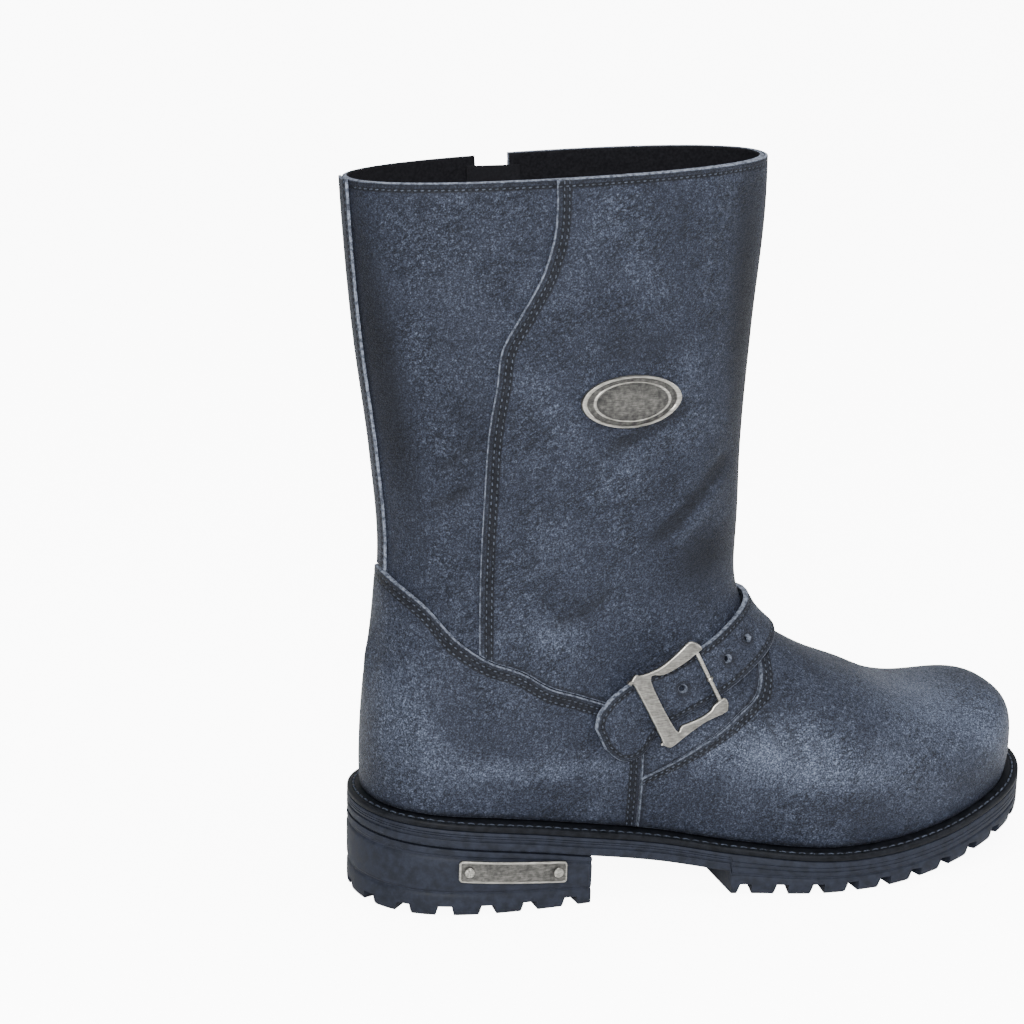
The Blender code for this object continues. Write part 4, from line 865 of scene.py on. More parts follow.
def bump(tree, shader, height):
    """Feed a height in metres to the shader's normal."""
    made = node(tree, "Bump", {"Height": height, "Distance": 1.0})
    tree.links.new(made.outputs[0], shader.inputs["Normal"])


def note(tree, label):
    """A note kept on the mesh's points."""
    return node(tree, "Attribute", attribute_name=label).outputs["Fac"]


def leather_finish():
    """Waxy slate leather, worn light in places, with painted highlights on swells and edges and
    painted shade in seams and folds.
    """
    made, tree, shader, place = finish("slate_leather", SLATE, 0.5, Specular_IOR_Level=0.15)
    wear_and_shading = place_group(tree, wear_and_shading_group(), {
        "Place": place, "Edge": note(tree, "edge"), "Row": note(tree, "row"),
        "Swell": note(tree, "swell"), "RubsAndPaintedLight": note(tree, "rubs_and_painted_light")})
    grain = place_group(tree, grain_group(), {"Place": place})
    base = mix(tree, grain["Specks"], SLATE_DEEP, SLATE)
    # Worn places with painted highlights on swells and where the notes say
    base = mix(tree, wear_and_shading["Light"], base, mix(tree, grain["Specks"], SLATE, SLATE_LIGHT))
    base = mix(tree, calc(tree, "MULTIPLY", grain["Pits"], 0.55), base, SLATE_DARK)
    base = mix(tree, calc(tree, "MULTIPLY", grain["Wrinkles"], 0.7), base, SLATE_DARK)
    # Painted shade in stitch rows, beside edges, in folds and in dark patches
    base = mix(tree, wear_and_shading["Dark"], base, SLATE_DARK)
    # Light rims: edge wear with a painted highlight
    base = mix(tree, wear_and_shading["Rim"], base, SLATE_EDGE)
    tree.links.new(base, shader.inputs["Base Color"])
    rough = calc(tree, "MULTIPLY_ADD", wear_and_shading["Light"], -0.06, 0.47)
    rough = calc(tree, "MULTIPLY_ADD", grain["Pits"], 0.2, rough)
    tree.links.new(rough, shader.inputs["Roughness"])
    bump(tree, shader, grain["Height"])
    return made


def pewter_finish():
    """Antique plating: bright on rims, brushed fine, black wax left in the hollows."""
    made, tree, shader, place = finish("antique_pewter", (0.3, 0.29, 0.27), 0.4, 1.0)
    worn = noise(tree, place, 420.0, 4.0, 0.65)
    streaks = noise(tree, node(tree, "Mapping", {"Vector": place, "Scale": (300.0, 300.0, 2600.0)})
                    .outputs[0], 1.0, 3.0, 0.6)
    wax = calc(tree, "MULTIPLY_ADD", calc(tree, "SUBTRACT", worn, 0.5), 0.6, note(tree, "hollow"))
    wax = ramp(tree, wax, 0.1, 1.1)
    base = mix(tree, ramp(tree, streaks, 0.3, 0.7), (0.20, 0.195, 0.175), (0.42, 0.405, 0.37))
    base = mix(tree, wax, base, (0.020, 0.020, 0.021))
    tree.links.new(base, shader.inputs["Base Color"])
    rough = calc(tree, "MULTIPLY_ADD", wax, 0.25, ramp(tree, worn, 0.3, 0.7, 0.28, 0.42))
    tree.links.new(rough, shader.inputs["Roughness"])
    height = calc(tree, "MULTIPLY", streaks, 0.00002)
    bump(tree, shader, calc(tree, "MULTIPLY_ADD", worn, 0.00006, height))
    return made


def plain_finish(name, colour, second, roughness, scale, height, metallic=0.0, **constants):
    """A finish whose colour and height vary with a fine noise."""
    made, tree, shader, place = finish(name, colour, roughness, metallic, **constants)
    coarse = noise(tree, place, scale, 4.0, 0.6)
    fine = noise(tree, place, scale * 5, 3.0, 0.6)
    share = calc(tree, "MULTIPLY", ramp(tree, coarse, 0.3, 0.7), ramp(tree, fine, 0.2, 0.8, 0.6, 1.0))
    tree.links.new(mix(tree, share, colour, second), shader.inputs["Base Color"])
    rough = ramp(tree, coarse, 0.25, 0.75, roughness - 0.07, roughness + 0.07)
    tree.links.new(rough, shader.inputs["Roughness"])
    bump(tree, shader, calc(tree, "MULTIPLY", fine, height))
    return made


def floor_finish():
    """White paper that shows evenly bright behind the boot without lighting it."""
    made, tree, shader, _ = finish("studio_floor", (0.9, 0.9, 0.9), 0.9)
    seen = node(tree, "LightPath").outputs["Is Camera Ray"]
    glow = mix(tree, seen, (0, 0, 0), (1, 1, 1))
    tree.links.new(glow, shader.inputs["Emission Color"])
    shader.inputs["Emission Strength"].default_value = FLOOR_GLOW
    return made


# SLATE_LIGHT is for worn places and painted highlights, SLATE_DARK for grain pits and painted shade,
# SLATE_EDGE for worn edges with a painted highlight.
SLATE = (0.025, 0.031, 0.050)
SLATE_DEEP = (0.0065, 0.0085, 0.0155)
SLATE_LIGHT = (0.130, 0.155, 0.215)
SLATE_DARK = (0.0022, 0.0027, 0.0045)
SLATE_EDGE = (0.19, 0.215, 0.27)
FLOOR_GLOW = 9.0

LEATHER = leather_finish()
LINING = plain_finish("fleece_lining", (0.002, 0.002, 0.003), (0.009, 0.009, 0.011), 0.95, 900.0,
                      0.0003, Specular_IOR_Level=0.1)
THREAD = plain_finish("waxed_thread", (0.004, 0.0055, 0.009), (0.060, 0.074, 0.105), 0.5, 1100.0,
                      0.00004, Specular_IOR_Level=0.25)
WELT = plain_finish("welt_leather", (0.0015, 0.002, 0.003), (0.007, 0.008, 0.011), 0.55, 300.0,
                    0.00008, Specular_IOR_Level=0.1)
RUBBER = plain_finish("sole_rubber", (0.006, 0.0075, 0.012), (0.014, 0.017, 0.027), 0.62, 260.0,
                      0.00005, Specular_IOR_Level=0.15)
INSOLE = plain_finish("insole_board", (0.006, 0.006, 0.007), (0.014, 0.013, 0.014), 0.85, 400.0,
                      0.0001)
PEWTER = pewter_finish()
NICKEL = plain_finish("zip_nickel", (0.30, 0.30, 0.31), (0.50, 0.50, 0.51), 0.3, 500.0,
                      0.00002, 1.0)
TAPE = plain_finish("woven_tape", (0.003, 0.003, 0.004), (0.009, 0.009, 0.011), 0.85, 1400.0,
                    0.00012, Specular_IOR_Level=0.1)
FLOOR = floor_finish()


# Making pieces

def grid_faces(rows, columns):
    """Faces over a grid of points that are kept row by row."""
    return [[i * columns + j, i * columns + j + 1, (i + 1) * columns + j + 1,
             (i + 1) * columns + j] for i in range(rows - 1) for j in range(columns - 1)]


def ring_faces(start, rings, sides):
    """Faces between closed rings of points that are kept ring by ring."""
    faces = []
    for i in range(start, start + (rings - 1) * sides, sides):
        for j in range(sides):
            n = (j + 1) % sides
            faces.append([i + j, i + n, i + sides + n, i + sides + j])
    return faces


def tube_faces(start, rings, sides):
    """Faces between rings of points, with both ends closed."""
    end = start + (rings - 1) * sides
    return ring_faces(start, rings, sides) + [list(range(start, start + sides))[::-1],
                                              list(range(end, end + sides))]


def piece(name, points, faces, finishes, slot=None, stands_for=(), rides_on="boot",
          notes=None, kinds=None, sharp=50):
    """A mesh with its finishes and notes, riding on its body."""
    mesh = bpy.data.meshes.new(name)
    mesh.from_pydata(np.asarray(points).tolist(), [], [list(map(int, face)) for face in faces])
    for material in finishes:
        mesh.materials.append(material)
    if kinds is not None:
        mesh.polygons.foreach_set("material_index", np.asarray(kinds, np.int32))
    for label, values in (notes or {}).items():
        layer = mesh.attributes.new(label, "FLOAT", "POINT")
        layer.data.foreach_set("value", np.asarray(values, np.float32))
    mesh.update()
    mesh.shade_smooth()
    mesh.set_sharp_from_angle(angle=math.radians(sharp))
    made = bpy.data.objects.new(name, mesh)
    bpy.context.scene.collection.objects.link(made)
    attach(made, rides_on)
    if stands_for:
        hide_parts(*stands_for)
    return made


def rounded(distance, reach):
    """Height of a rounded edge by the distance from it, as a share."""
    t = np.clip(distance / reach, 0, 1)
    return EDGE_LEFT + (1 - EDGE_LEFT) * np.sqrt(1 - (1 - t) ** 2)


EDGE_LEFT = 0.3
EDGE_LINES = (0.12, 0.4, 0.8)
ROW_REACH = 0.5 * MM
ROW_DEPTH = 0.3 * MM
CROWN_REACH = 5 * MM
BOTTOM_DRAW = 0.35


def at_level(level):
    """A depth as a function of points."""
    return level if callable(level) else lambda points: np.full(len(points), level)


def leather(name, node, skin, edges, base, thickness, finishes, slot, rounding=0.5 * MM,
            show=None, both_sides=False, crown=0.0):
    """A piece of leather with rounded edges and sewn rows: edges are measures with their rows."""
    base = at_level(base)
    for measure, _ in edges:
        skin = skin.cut(measure)
    lines = []
    for measure, rows in edges:
        for share in EDGE_LINES:
            skin, _ = skin.split(measure, share * rounding)
        for row in rows:
            for shift in (-ROW_REACH, ROW_REACH):
                skin, _ = skin.split(measure, row + shift)
            skin, marks = skin.split(measure, row)
            lines += traced(skin, marks)
    points, normals = skin.points, skin.normals
    distances = [(measure(skin), rows) for measure, rows in edges]
    edge = np.min([distance for distance, _ in distances], axis=0)
    row = np.full(len(points), AWAY)
    for distance, rows in distances:
        for at in rows:
            row = np.minimum(row, np.abs(distance - at))
    swell = relief(points)
    profile = rounded(edge, rounding)
    groove = ROW_DEPTH * np.exp(-(row / ROW_REACH) ** 2)
    bottom = base(points) + swell
    top = bottom + thickness * profile - groove + crown * smooth_step(edge / CROWN_REACH)
    if both_sides:
        bottom = bottom + BOTTOM_DRAW * thickness * (1 - profile)
    outer = points + normals * top[:, None]
    inner = points + normals * bottom[:, None]
    count = len(points)
    flat, _, after = corners(skin.faces)
    key = np.minimum(flat, after) * count + np.maximum(flat, after)
    _, first, uses = np.unique(key, return_index=True, return_counts=True)
    rim = first[uses == 1]
    a, b = flat[rim], after[rim]
    rims = np.stack([b, a, a + count, b + count], 1).tolist()
    backs = [[i + count for i in face[::-1]] for face in skin.faces]
    kinds = np.r_[np.zeros(len(skin.faces)), np.full(len(backs), len(finishes) - 1),
                  np.zeros(len(rims))]
    # The swell and wear notes drive worn places, painted highlights and painted shade in the finish.
    notes = {"edge": np.r_[edge, 0 * edge], "row": np.r_[row, row],
             "swell": np.r_[swell, swell] / MM, "rubs_and_painted_light": np.tile(rubs_and_painted_light(points), 2)}
    piece(name, np.vstack([outer, inner]), skin.faces + backs + rims, finishes, slot, (node,),
          notes=notes, kinds=kinds)
    if lines:
        sew(node + "_stitches", lines,
            lambda at: base(at) + thickness - ROW_DEPTH + crown / 2 + relief(at), show)


STITCH_PITCH = 2.7 * MM
STITCH = (1.45 * MM, 0.55 * MM, 0.34 * MM)
STITCH_STATIONS = (-0.5, -0.36, 0.0, 0.36, 0.5)
STITCH_GIRTH = (0.45, 0.9, 1.0, 0.9, 0.45)
STITCH_SIDES = 6
STITCH_GRIP = 0.4
STITCH_ARCH = 0.6


def sew(name, lines, depth, show=None, pitch=STITCH_PITCH, size=STITCH, lean=0.12):
    """Stitches along lines of points with normals, sunk in their row."""
    points, faces = [], []
    length, width, height = size
    turns = np.arange(STITCH_SIDES) / STITCH_SIDES * 2 * math.pi
    for line in lines:
        at, normal = line[:, :3], line[:, 3:6]
        run = np.r_[0, np.cumsum(np.linalg.norm(np.diff(at, axis=0), axis=1))]
        count = int(run[-1] / pitch)
        if count < 2:
            continue
        for k in range(count):
            spots = (k + 0.5) * run[-1] / count + np.array([-STITCH_GRIP, 0, STITCH_GRIP]) * length
            spots = np.clip(spots, 0, run[-1])
            p = np.stack([np.interp(spots, run, at[:, i]) for i in range(3)], 1)
            n = np.array([np.interp(spots[1], run, normal[:, i]) for i in range(3)])
            n /= np.linalg.norm(n)
            if show is not None and not show(p[1:2])[0]:
                continue
            way = p[2] - p[0]
            if np.linalg.norm(way) < 1e-6:
                continue
            way /= np.linalg.norm(way)
            side = np.cross(n, way)
            way = way * math.cos(lean) + side * math.sin(lean)
            side = np.cross(n, way)
            middle = p[1] + n * depth(p[1:2])[0]
            start = len(points)
            for station, wide in zip(STITCH_STATIONS, STITCH_GIRTH):
                lift = height * (1 - (2 * station) ** 2) * STITCH_ARCH
                centre = middle + way * station * length + n * lift
                for turn in turns:
                    points.append(centre + side * math.cos(turn) * wide * width / 2
                                  + n * math.sin(turn) * wide * height / 2)
            faces += tube_faces(start, len(STITCH_STATIONS), STITCH_SIDES)
    piece(name, np.array(points), faces, [THREAD])


# Upper and its overlays

def make_uppers():
    """The upper with its lining, and the leather laid over it."""
    fine = whole_skin(1.0)
    face = UPPER_FACE + CLEARANCE
    collar = (along_skin(collar_field), (2.9 * MM,))
    low_edge = (along_skin(floor_field, EDGE_RISE), ())
    behind_counter = (along_skin(counter_field, SEAM_GAP / 2, -1), ())
    slot = (along_skin(slot_field), (2.4 * MM,))

    def bare(points):
        """Where the upper isn't covered by another piece."""
        free = (seam_field(points) < -1 * MM) | ((points[:, 1] > 0)
                                                 & (zip_front_field(points) < -1 * MM))
        return free & (counter_field(points) < -1 * MM) & (np.abs(points[:, 1]) > 8 * MM)

    leather("upper_shell", "upper", whole_skin(0.8),
            [(along_skin(floor_field), ()), collar, slot], UPPER_FACE - WALL, WALL,
            [LEATHER, LINING], "upper_leather", show=bare, both_sides=True)
    leather("vamp_leather", "vamp", fine,
            [low_edge, behind_counter,
             (along_skin(vamp_field, SEAM_GAP / 2), (2.3 * MM, 4.5 * MM))],
            face, VAMP_THICKNESS, [LEATHER], "upper_leather", 0.7 * MM,
            show=lambda p: (counter_field(p) < -0.5 * MM) & off_strap(p))
    leather("counter_leather", "counter", fine,
            [low_edge, (along_skin(counter_field, SEAM_GAP / 2), (2.4 * MM, 4.7 * MM)), slot],
            face, COUNTER_THICKNESS, [LEATHER], "upper_leather", 0.8 * MM)
    leather("shaft_front_leather", "shaft_front_panel", fine,
            [behind_counter, (along_skin(vamp_field, SEAM_GAP / 2, -1), ()),
             (along_skin(seam_field), (2.9 * MM, 5.0 * MM)),
             (along_skin(zip_front_field), (2.4 * MM,)), collar],
            face, PANEL_THICKNESS, [LEATHER], "upper_leather")
    leather("back_stay_leather", "back_stay", fine,
            [behind_counter, (along_skin(lambda p: STAY_WIDTH / 2 - np.abs(p[:, 1])), (1.7 * MM,)),
             (along_skin(lambda p: -p[:, 0]), ()), (along_skin(collar_field), ())],
            face, PANEL_THICKNESS, [LEATHER], "upper_leather")


# Strap

def strap_grid(arcs, low, high, rows):
    """Points of the surface on a band round the instep: arcs from the front, edges along it."""
    ahead = np.array([math.cos(STRAP_SLOPE), 0, math.sin(STRAP_SLOPE)])
    up = np.array([-math.sin(STRAP_SLOPE), 0, math.cos(STRAP_SLOPE)])
    axis = np.array([STRAP_MIDDLE[0], 0, STRAP_MIDDLE[1]]) - ahead * STRAP_AXIS_BACK
    turns = np.radians(np.linspace(-168, 168, 337))
    ways = ahead * np.cos(turns)[:, None] - np.array([0, 1, 0]) * np.sin(turns)[:, None]
    line = reach_skin(np.broadcast_to(axis, ways.shape), ways)
    length = np.r_[0, np.cumsum(np.linalg.norm(np.diff(line, axis=0), axis=1))]
    length -= length[len(turns) // 2]
    turn = np.interp(arcs, length, turns)
    t = np.linspace(0, 1, rows)[None, :]
    across = low[:, None] * (1 - t) + high[:, None] * t
    origins = axis + up * across[..., None]
    ways = ahead * np.cos(turn)[:, None] - np.array([0, 1, 0]) * np.sin(turn)[:, None]
    ways = np.broadcast_to(ways[:, None, :], origins.shape)
    return reach_skin(origins, ways)


def strap_arc(points):
    """Rough arc from the front to points of the outer side, zero on the inner side."""
    ahead = points[:, 0] * math.cos(STRAP_SLOPE) + points[:, 2] * math.sin(STRAP_SLOPE)
    front = STRAP_MIDDLE[0] * math.cos(STRAP_SLOPE) + STRAP_MIDDLE[1] * math.sin(STRAP_SLOPE)
    return np.where(points[:, 1] < 0, 0.42 * STRAP_REACH + front - ahead, 0)


def strap_levels(points):
    """Depth of the strap's underside: it climbs over its holder at the buckle."""
    base = UPPER_FACE + CLEARANCE + VAMP_THICKNESS + 3 * CLEARANCE
    arc = strap_arc(points)
    climb = HOLDER_THICKNESS + 2 * CLEARANCE
    return base + climb * curve(STRAP_LIFT, "lift", arc / STRAP_REACH)


def buckle_frame():
    """Matrix of the buckle: X along the strap toward the toe, Z away from the boot."""
    arcs = BUCKLE_ARC + np.linspace(0.55, -0.55, 7) * BUCKLE_LENGTH
    edge = np.full(len(arcs), STRAP_WIDTH / 2)
    under = strap_grid(arcs, -edge, edge, 5)
    flat = under.reshape(-1, 3)
    top = flat + outward(flat) * (strap_levels(flat) + STRAP_THICKNESS)[:, None]
    grid = top.reshape(under.shape)
    along = (grid[-1] - grid[0]).mean(0)
    across = (grid[:, -1] - grid[:, 0]).mean(0)
    out = np.cross(along, across)
    if out[1] > 0:
        out = -out
    out /= np.linalg.norm(out)
    along -= out * (along @ out)
    along /= np.linalg.norm(along)
    up = np.cross(out, along)
    middle = grid.reshape(-1, 3).mean(0)
    under_bars = grid[[0, 1, -2, -1], grid.shape[1] // 2]
    seat = ((under_bars - middle) @ out).max()
    origin = middle + out * (seat + CLEARANCE)
    made = Matrix.Identity(4)
    for column, vector in enumerate((along, up, out, origin)):
        for row in range(3):
            made[row][column] = vector[row]
    return made


def strap_outline():
    """The strap's edge on its flat plan of arc and height: inner root to outer tip and back."""
    inner = np.linspace(1.0, 0.0, 60)[:-1]
    outer = np.r_[np.linspace(0.0, 0.9, 80), 0.9 + 0.1 * np.sin(np.linspace(0, math.pi / 2, 24))[1:]]
    arcs = np.r_[-inner * STRAP_ROOT, outer * STRAP_REACH]
    low = np.r_[curve(STRAP_INNER, "low", inner), curve(STRAP_OUTER, "low", outer)]
    high = np.r_[curve(STRAP_INNER, "high", inner), curve(STRAP_OUTER, "high", outer)]
    return arcs, low * STRAP_WIDTH, high * STRAP_WIDTH


def outline_distance(outline):
    """A measure of how far inside a flat outline a skin's notes lie."""
    a, b = outline, np.roll(outline, -1, 0)
    way = b - a
    square = np.maximum((way ** 2).sum(1), 1e-16)

    def measure(skin):
        at = skin.data[:, 6:8]
        best = np.full(len(at), AWAY)
        crossings = np.zeros(len(at), int)
        for p, d, s, q in zip(a, way, square, b):
            t = np.clip(((at - p) @ d) / s, 0, 1)
            best = np.minimum(best, np.linalg.norm(at - p - t[:, None] * d, axis=1))
            over = (p[1] > at[:, 1]) != (q[1] > at[:, 1])
            if p[1] != q[1]:
                x = p[0] + (at[:, 1] - p[1]) / (q[1] - p[1]) * d[0]
                crossings += over & (at[:, 0] < x)
        return np.where(crossings % 2 == 1, best, -best)

    return measure


STRAP_HOLES = (0.277, 0.409, 0.617)
STRAP_HOLE = 1.45 * MM
STRAP_ROW = 2.4 * MM


def off_strap(points):
    """Where the strap doesn't cover the vamp."""
    up = -(points[:, 0] - STRAP_MIDDLE[0]) * math.sin(STRAP_SLOPE)
    up += (points[:, 2] - STRAP_MIDDLE[1]) * math.cos(STRAP_SLOPE)
    return np.abs(up) > STRAP_WIDTH * 0.5


def make_strap():
    """The instep strap with its holes, and the short holder that keeps the buckle."""
    arcs, low, high = strap_outline()
    columns = 30
    margin = 0.6 * MM
    extra = np.r_[arcs[0] - margin, arcs, arcs[-1] + margin]
    low_wide = np.r_[low[0], low, low[-1]] - margin
    high_wide = np.r_[high[0], high, high[-1]] + margin
    grid = strap_grid(extra, low_wide, high_wide, columns)
    t = np.linspace(0, 1, columns)[None, :]
    across = low_wide[:, None] * (1 - t) + high_wide[:, None] * t
    notes = np.stack([np.broadcast_to(extra[:, None], across.shape), across], -1).reshape(-1, 2)
    skin = made_skin(grid.reshape(-1, 3), grid_faces(len(extra), columns), notes)
    outline = np.vstack([np.c_[arcs, high], np.c_[arcs, low][::-1]])
    inside = outline_distance(outline)

    def at_counter(skin):
        edge = along_skin(counter_field, SEAM_GAP, -1)(skin)
        return np.where(skin.points[:, 1] > 0, edge, AWAY)

    def round_holes(skin):
        spot = [np.hypot(skin.data[:, 6] - arc * STRAP_REACH, skin.data[:, 7]) - STRAP_HOLE
                for arc in STRAP_HOLES]
        return np.min(spot, axis=0)

    leather("instep_strap_leather", "instep_strap", skin,
            [(inside, (STRAP_ROW,)), (round_holes, ()), (at_counter, ())], strap_levels,
            STRAP_THICKNESS, [LEATHER], "strap_leather", 0.9 * MM, crown=0.25 * MM)
    arcs = np.linspace(BUCKLE_ARC - BUCKLE_LENGTH / 3, 0.86 * STRAP_REACH, 60)
    edge = np.full(len(arcs), STRAP_WIDTH / 2)
    columns = 16
    grid = strap_grid(arcs, -0.9 * edge, 1.05 * edge, columns)
    faces = grid_faces(len(arcs), columns)
    depth = UPPER_FACE + CLEARANCE + VAMP_THICKNESS + CLEARANCE
    leather("buckle_strap_leather", "buckle_strap", made_skin(grid.reshape(-1, 3), faces),
            [(along_skin(counter_field, SEAM_GAP, -1), ())], depth, HOLDER_THICKNESS,
            [LEATHER], "strap_leather")


# Cast and stamped metal

def smoothed(loop, steps=6):
    """A closed line through a loop's points, rounded at its corners."""
    loop = np.asarray(loop, float)
    before, after, beyond = np.roll(loop, 1, 0), np.roll(loop, -1, 0), np.roll(loop, -2, 0)
    out = []
    for p0, p1, p2, p3 in zip(before, loop, after, beyond):
        for t in np.arange(steps) / steps:
            out.append(0.5 * (2 * p1 + (p2 - p0) * t + (2 * p0 - 5 * p1 + 4 * p2 - p3) * t * t
                              + (3 * p1 - p0 - 3 * p2 + p3) * t ** 3))
    return np.array(out)


def inset(loop, amount):
    """A closed line moved inward by an amount."""
    area = np.sum(loop[:, 0] * np.roll(loop[:, 1], -1) - np.roll(loop[:, 0], -1) * loop[:, 1])
    way = np.roll(loop, -1, 0) - np.roll(loop, 1, 0)
    way /= np.maximum(np.linalg.norm(way, axis=1, keepdims=True), 1e-12)
    return loop + np.stack([-way[:, 1], way[:, 0]], 1) * amount * np.sign(area)


def cast(name, loops, thickness, rounding, finishes, place, rides_on="boot", slot=None,
         stands_for=(), low=0.0):
    """A flat casting with rounded edges, from an outline and its windows."""
    bm = bmesh.new()
    levels = [(low, rounding)] + [
        (low + rounding * (1 - math.cos(t)), rounding * (1 - math.sin(t)))
        for t in np.linspace(0, math.pi / 2, 5)[1:]]
    levels += [(low + thickness - (z - low), aside) for z, aside in levels[::-1]]
    rings_all = []
    for index, loop in enumerate(loops):
        sign = 1 if index == 0 else -1
        rings = []
        for z, aside in levels:
            line = inset(loop, sign * aside)
            rings.append([bm.verts.new((x, y, z)) for x, y in line])
        count = len(loop)
        for a, b in zip(rings, rings[1:]):
            for k in range(count):
                n = (k + 1) % count
                bm.faces.new((a[k], a[n], b[n], b[k]))
        rings_all.append(rings)
    for level in (0, -1):
        edges = []
        for rings in rings_all:
            ring = rings[level]
            edges += [bm.edges.get((ring[k], ring[(k + 1) % len(ring)])) for k in range(len(ring))]
        bmesh.ops.triangle_fill(bm, edges=edges, use_beauty=True)
    bmesh.ops.recalc_face_normals(bm, faces=bm.faces)
    bm.transform(place)
    points = np.array([v.co[:] for v in bm.verts])
    bm.verts.index_update()
    faces = [[v.index for v in face.verts] for face in bm.faces]
    bm.free()
    hollow = np.tile(np.repeat([1.0 if z < thickness * 0.5 else 0.55 * (aside / rounding)
                                for z, aside in levels], len(loop)), len(loops))
    return piece(name, points, faces, finishes, slot, stands_for, rides_on,
                 notes={"hollow": hollow}, sharp=40)


def turned(profile, sides=24):
    """Points and faces of a turned form: radius and height rows round the Z axis."""
    turns = np.arange(sides) / sides * 2 * math.pi
    points = [np.array([[r * math.cos(t), r * math.sin(t), z] for t in turns]) for r, z in profile]
    faces = []
    for i in range(len(profile) - 1):
        for k in range(sides):
            n = (k + 1) % sides
            faces.append([i * sides + k, i * sides + n, (i + 1) * sides + n, (i + 1) * sides + k])
    faces.append([k for k in range(sides)][::-1])
    faces.append([(len(profile) - 1) * sides + k for k in range(sides)])
    return np.vstack(points), faces


def rod(name, start, end, width, finishes, place, bulge=0.0, **more):
    """A round bar between two points of a plane."""
    start, end = Vector(start), Vector(end)
    way = end - start
    half, length = width / 2, way.length
    profile = [(half * 0.6, 0), (half * 0.9, half * 0.12), (half, half * 0.35),
               (half + bulge, length / 2), (half, length - half * 0.35),
               (half * 0.9, length - half * 0.12), (half * 0.6, length)]
    points, faces = turned(profile)
    turn = Matrix.Translation(start) @ way.to_track_quat("Z", "Y").to_matrix().to_4x4()
    points = np.array([(place @ turn @ Vector(p))[:] for p in points])
    return piece(name, points, faces, finishes, sharp=40, **more)


def make_buckle():
    """The cast buckle, its thin rod and the ring on the rod."""
    place = buckle_frame() @ Matrix.Translation((0, 0, (BUCKLE_RING - BUCKLE_THICKNESS) / 2))

    def spot(along, down):
        return (along - 0.5) * BUCKLE_LENGTH, (0.5 - down) * BUCKLE_HEIGHT

    outline = [spot(*row) for row in zip(BUCKLE_OUTLINE["along"], BUCKLE_OUTLINE["down"])]
    cast("buckle_casting", [smoothed(outline, 4)], BUCKLE_THICKNESS, 0.8 * MM, [PEWTER], place,
         slot="pewter", stands_for=("buckle",))
    level = BUCKLE_THICKNESS / 2
    ends = [(*spot(BUCKLE_ROD_ALONG, down), level) for down in BUCKLE_ROD_ENDS]
    rod("buckle_rod", *ends, BUCKLE_ROD, [PEWTER], place, slot="pewter")
    x, y = spot(BUCKLE_ROD_ALONG, BUCKLE_RING_DOWN)
    half = BUCKLE_RING_WIDTH / 2
    rod("buckle_ring_bead", (x, y - half, level), (x, y + half, level), BUCKLE_RING, [PEWTER],
        place, bulge=0.15 * MM, slot="pewter", stands_for=("buckle_ring",))


def make_shaft_plate():
    """The plain oval plate on the shaft, with a raised rim and a fine line inside it."""
    length, height, thickness = SHAFT_PLATE
    shares = (0.0, 0.3, 0.55, 0.70, 0.725, 0.745, 0.77, 0.80, 0.88, 0.905, 0.94, 0.98, 1.0)
    heights = (0.55, 0.55, 0.53, 0.50, 0.72, 0.72, 0.50, 0.50, 0.50, 0.9, 1.0, 0.85, 0.0)
    count = 96
    points = [SHAFT_PLATE_AT]
    rise = [heights[0]]
    for share, up in zip(shares[1:], heights[1:]):
        for k in range(count):
            turn = 2 * math.pi * k / count
            points.append((SHAFT_PLATE_AT[0] + math.cos(turn) * share * length / 2,
                           SHAFT_PLATE_AT[1] + math.sin(turn) * share * height / 2))
            rise.append(up)
    points = np.array(points)
    base = side_point(points[:, 0], points[:, 1], -1)
    normals = outward(base)
    depth = UPPER_FACE + CLEARANCE + PANEL_THICKNESS + 1.5 * CLEARANCE + relief(base)
    top = base + normals * (depth + thickness * np.array(rise))[:, None]
    faces = []
    for k in range(count):
        n = (k + 1) % count
        faces.append([0, 1 + k, 1 + n])
        for i in range(len(shares) - 2):
            a, b = 1 + i * count, 1 + (i + 1) * count
            faces.append([a + k, b + k, b + n, a + n])
    last = 1 + (len(shares) - 2) * count
    back = [last + k for k in range(count)]
    faces.append(back[::-1])
    hollow = 1 - smooth_step((np.array(rise) - 0.5) / 0.25)
    piece("shaft_plate", top, faces, [PEWTER], "pewter", ("shaft_badge",),
          notes={"hollow": hollow * 0.85}, sharp=40)


# Zip

def zip_patch(z_values, offsets):
    """A grid on the inner side round the zip's line: rows by height, columns across it."""
    z = np.asarray(z_values)[:, None]
    return side_point(zip_x(z) + np.asarray(offsets)[None, :], z + 0 * np.asarray(offsets), 1)


def zip_top():
    """Height at which the chain enters the slider."""
    return SHAFT_HEIGHT - SLIDER_DROP - SLIDER_LENGTH / 2 - SLIDER_WIDTH / 4


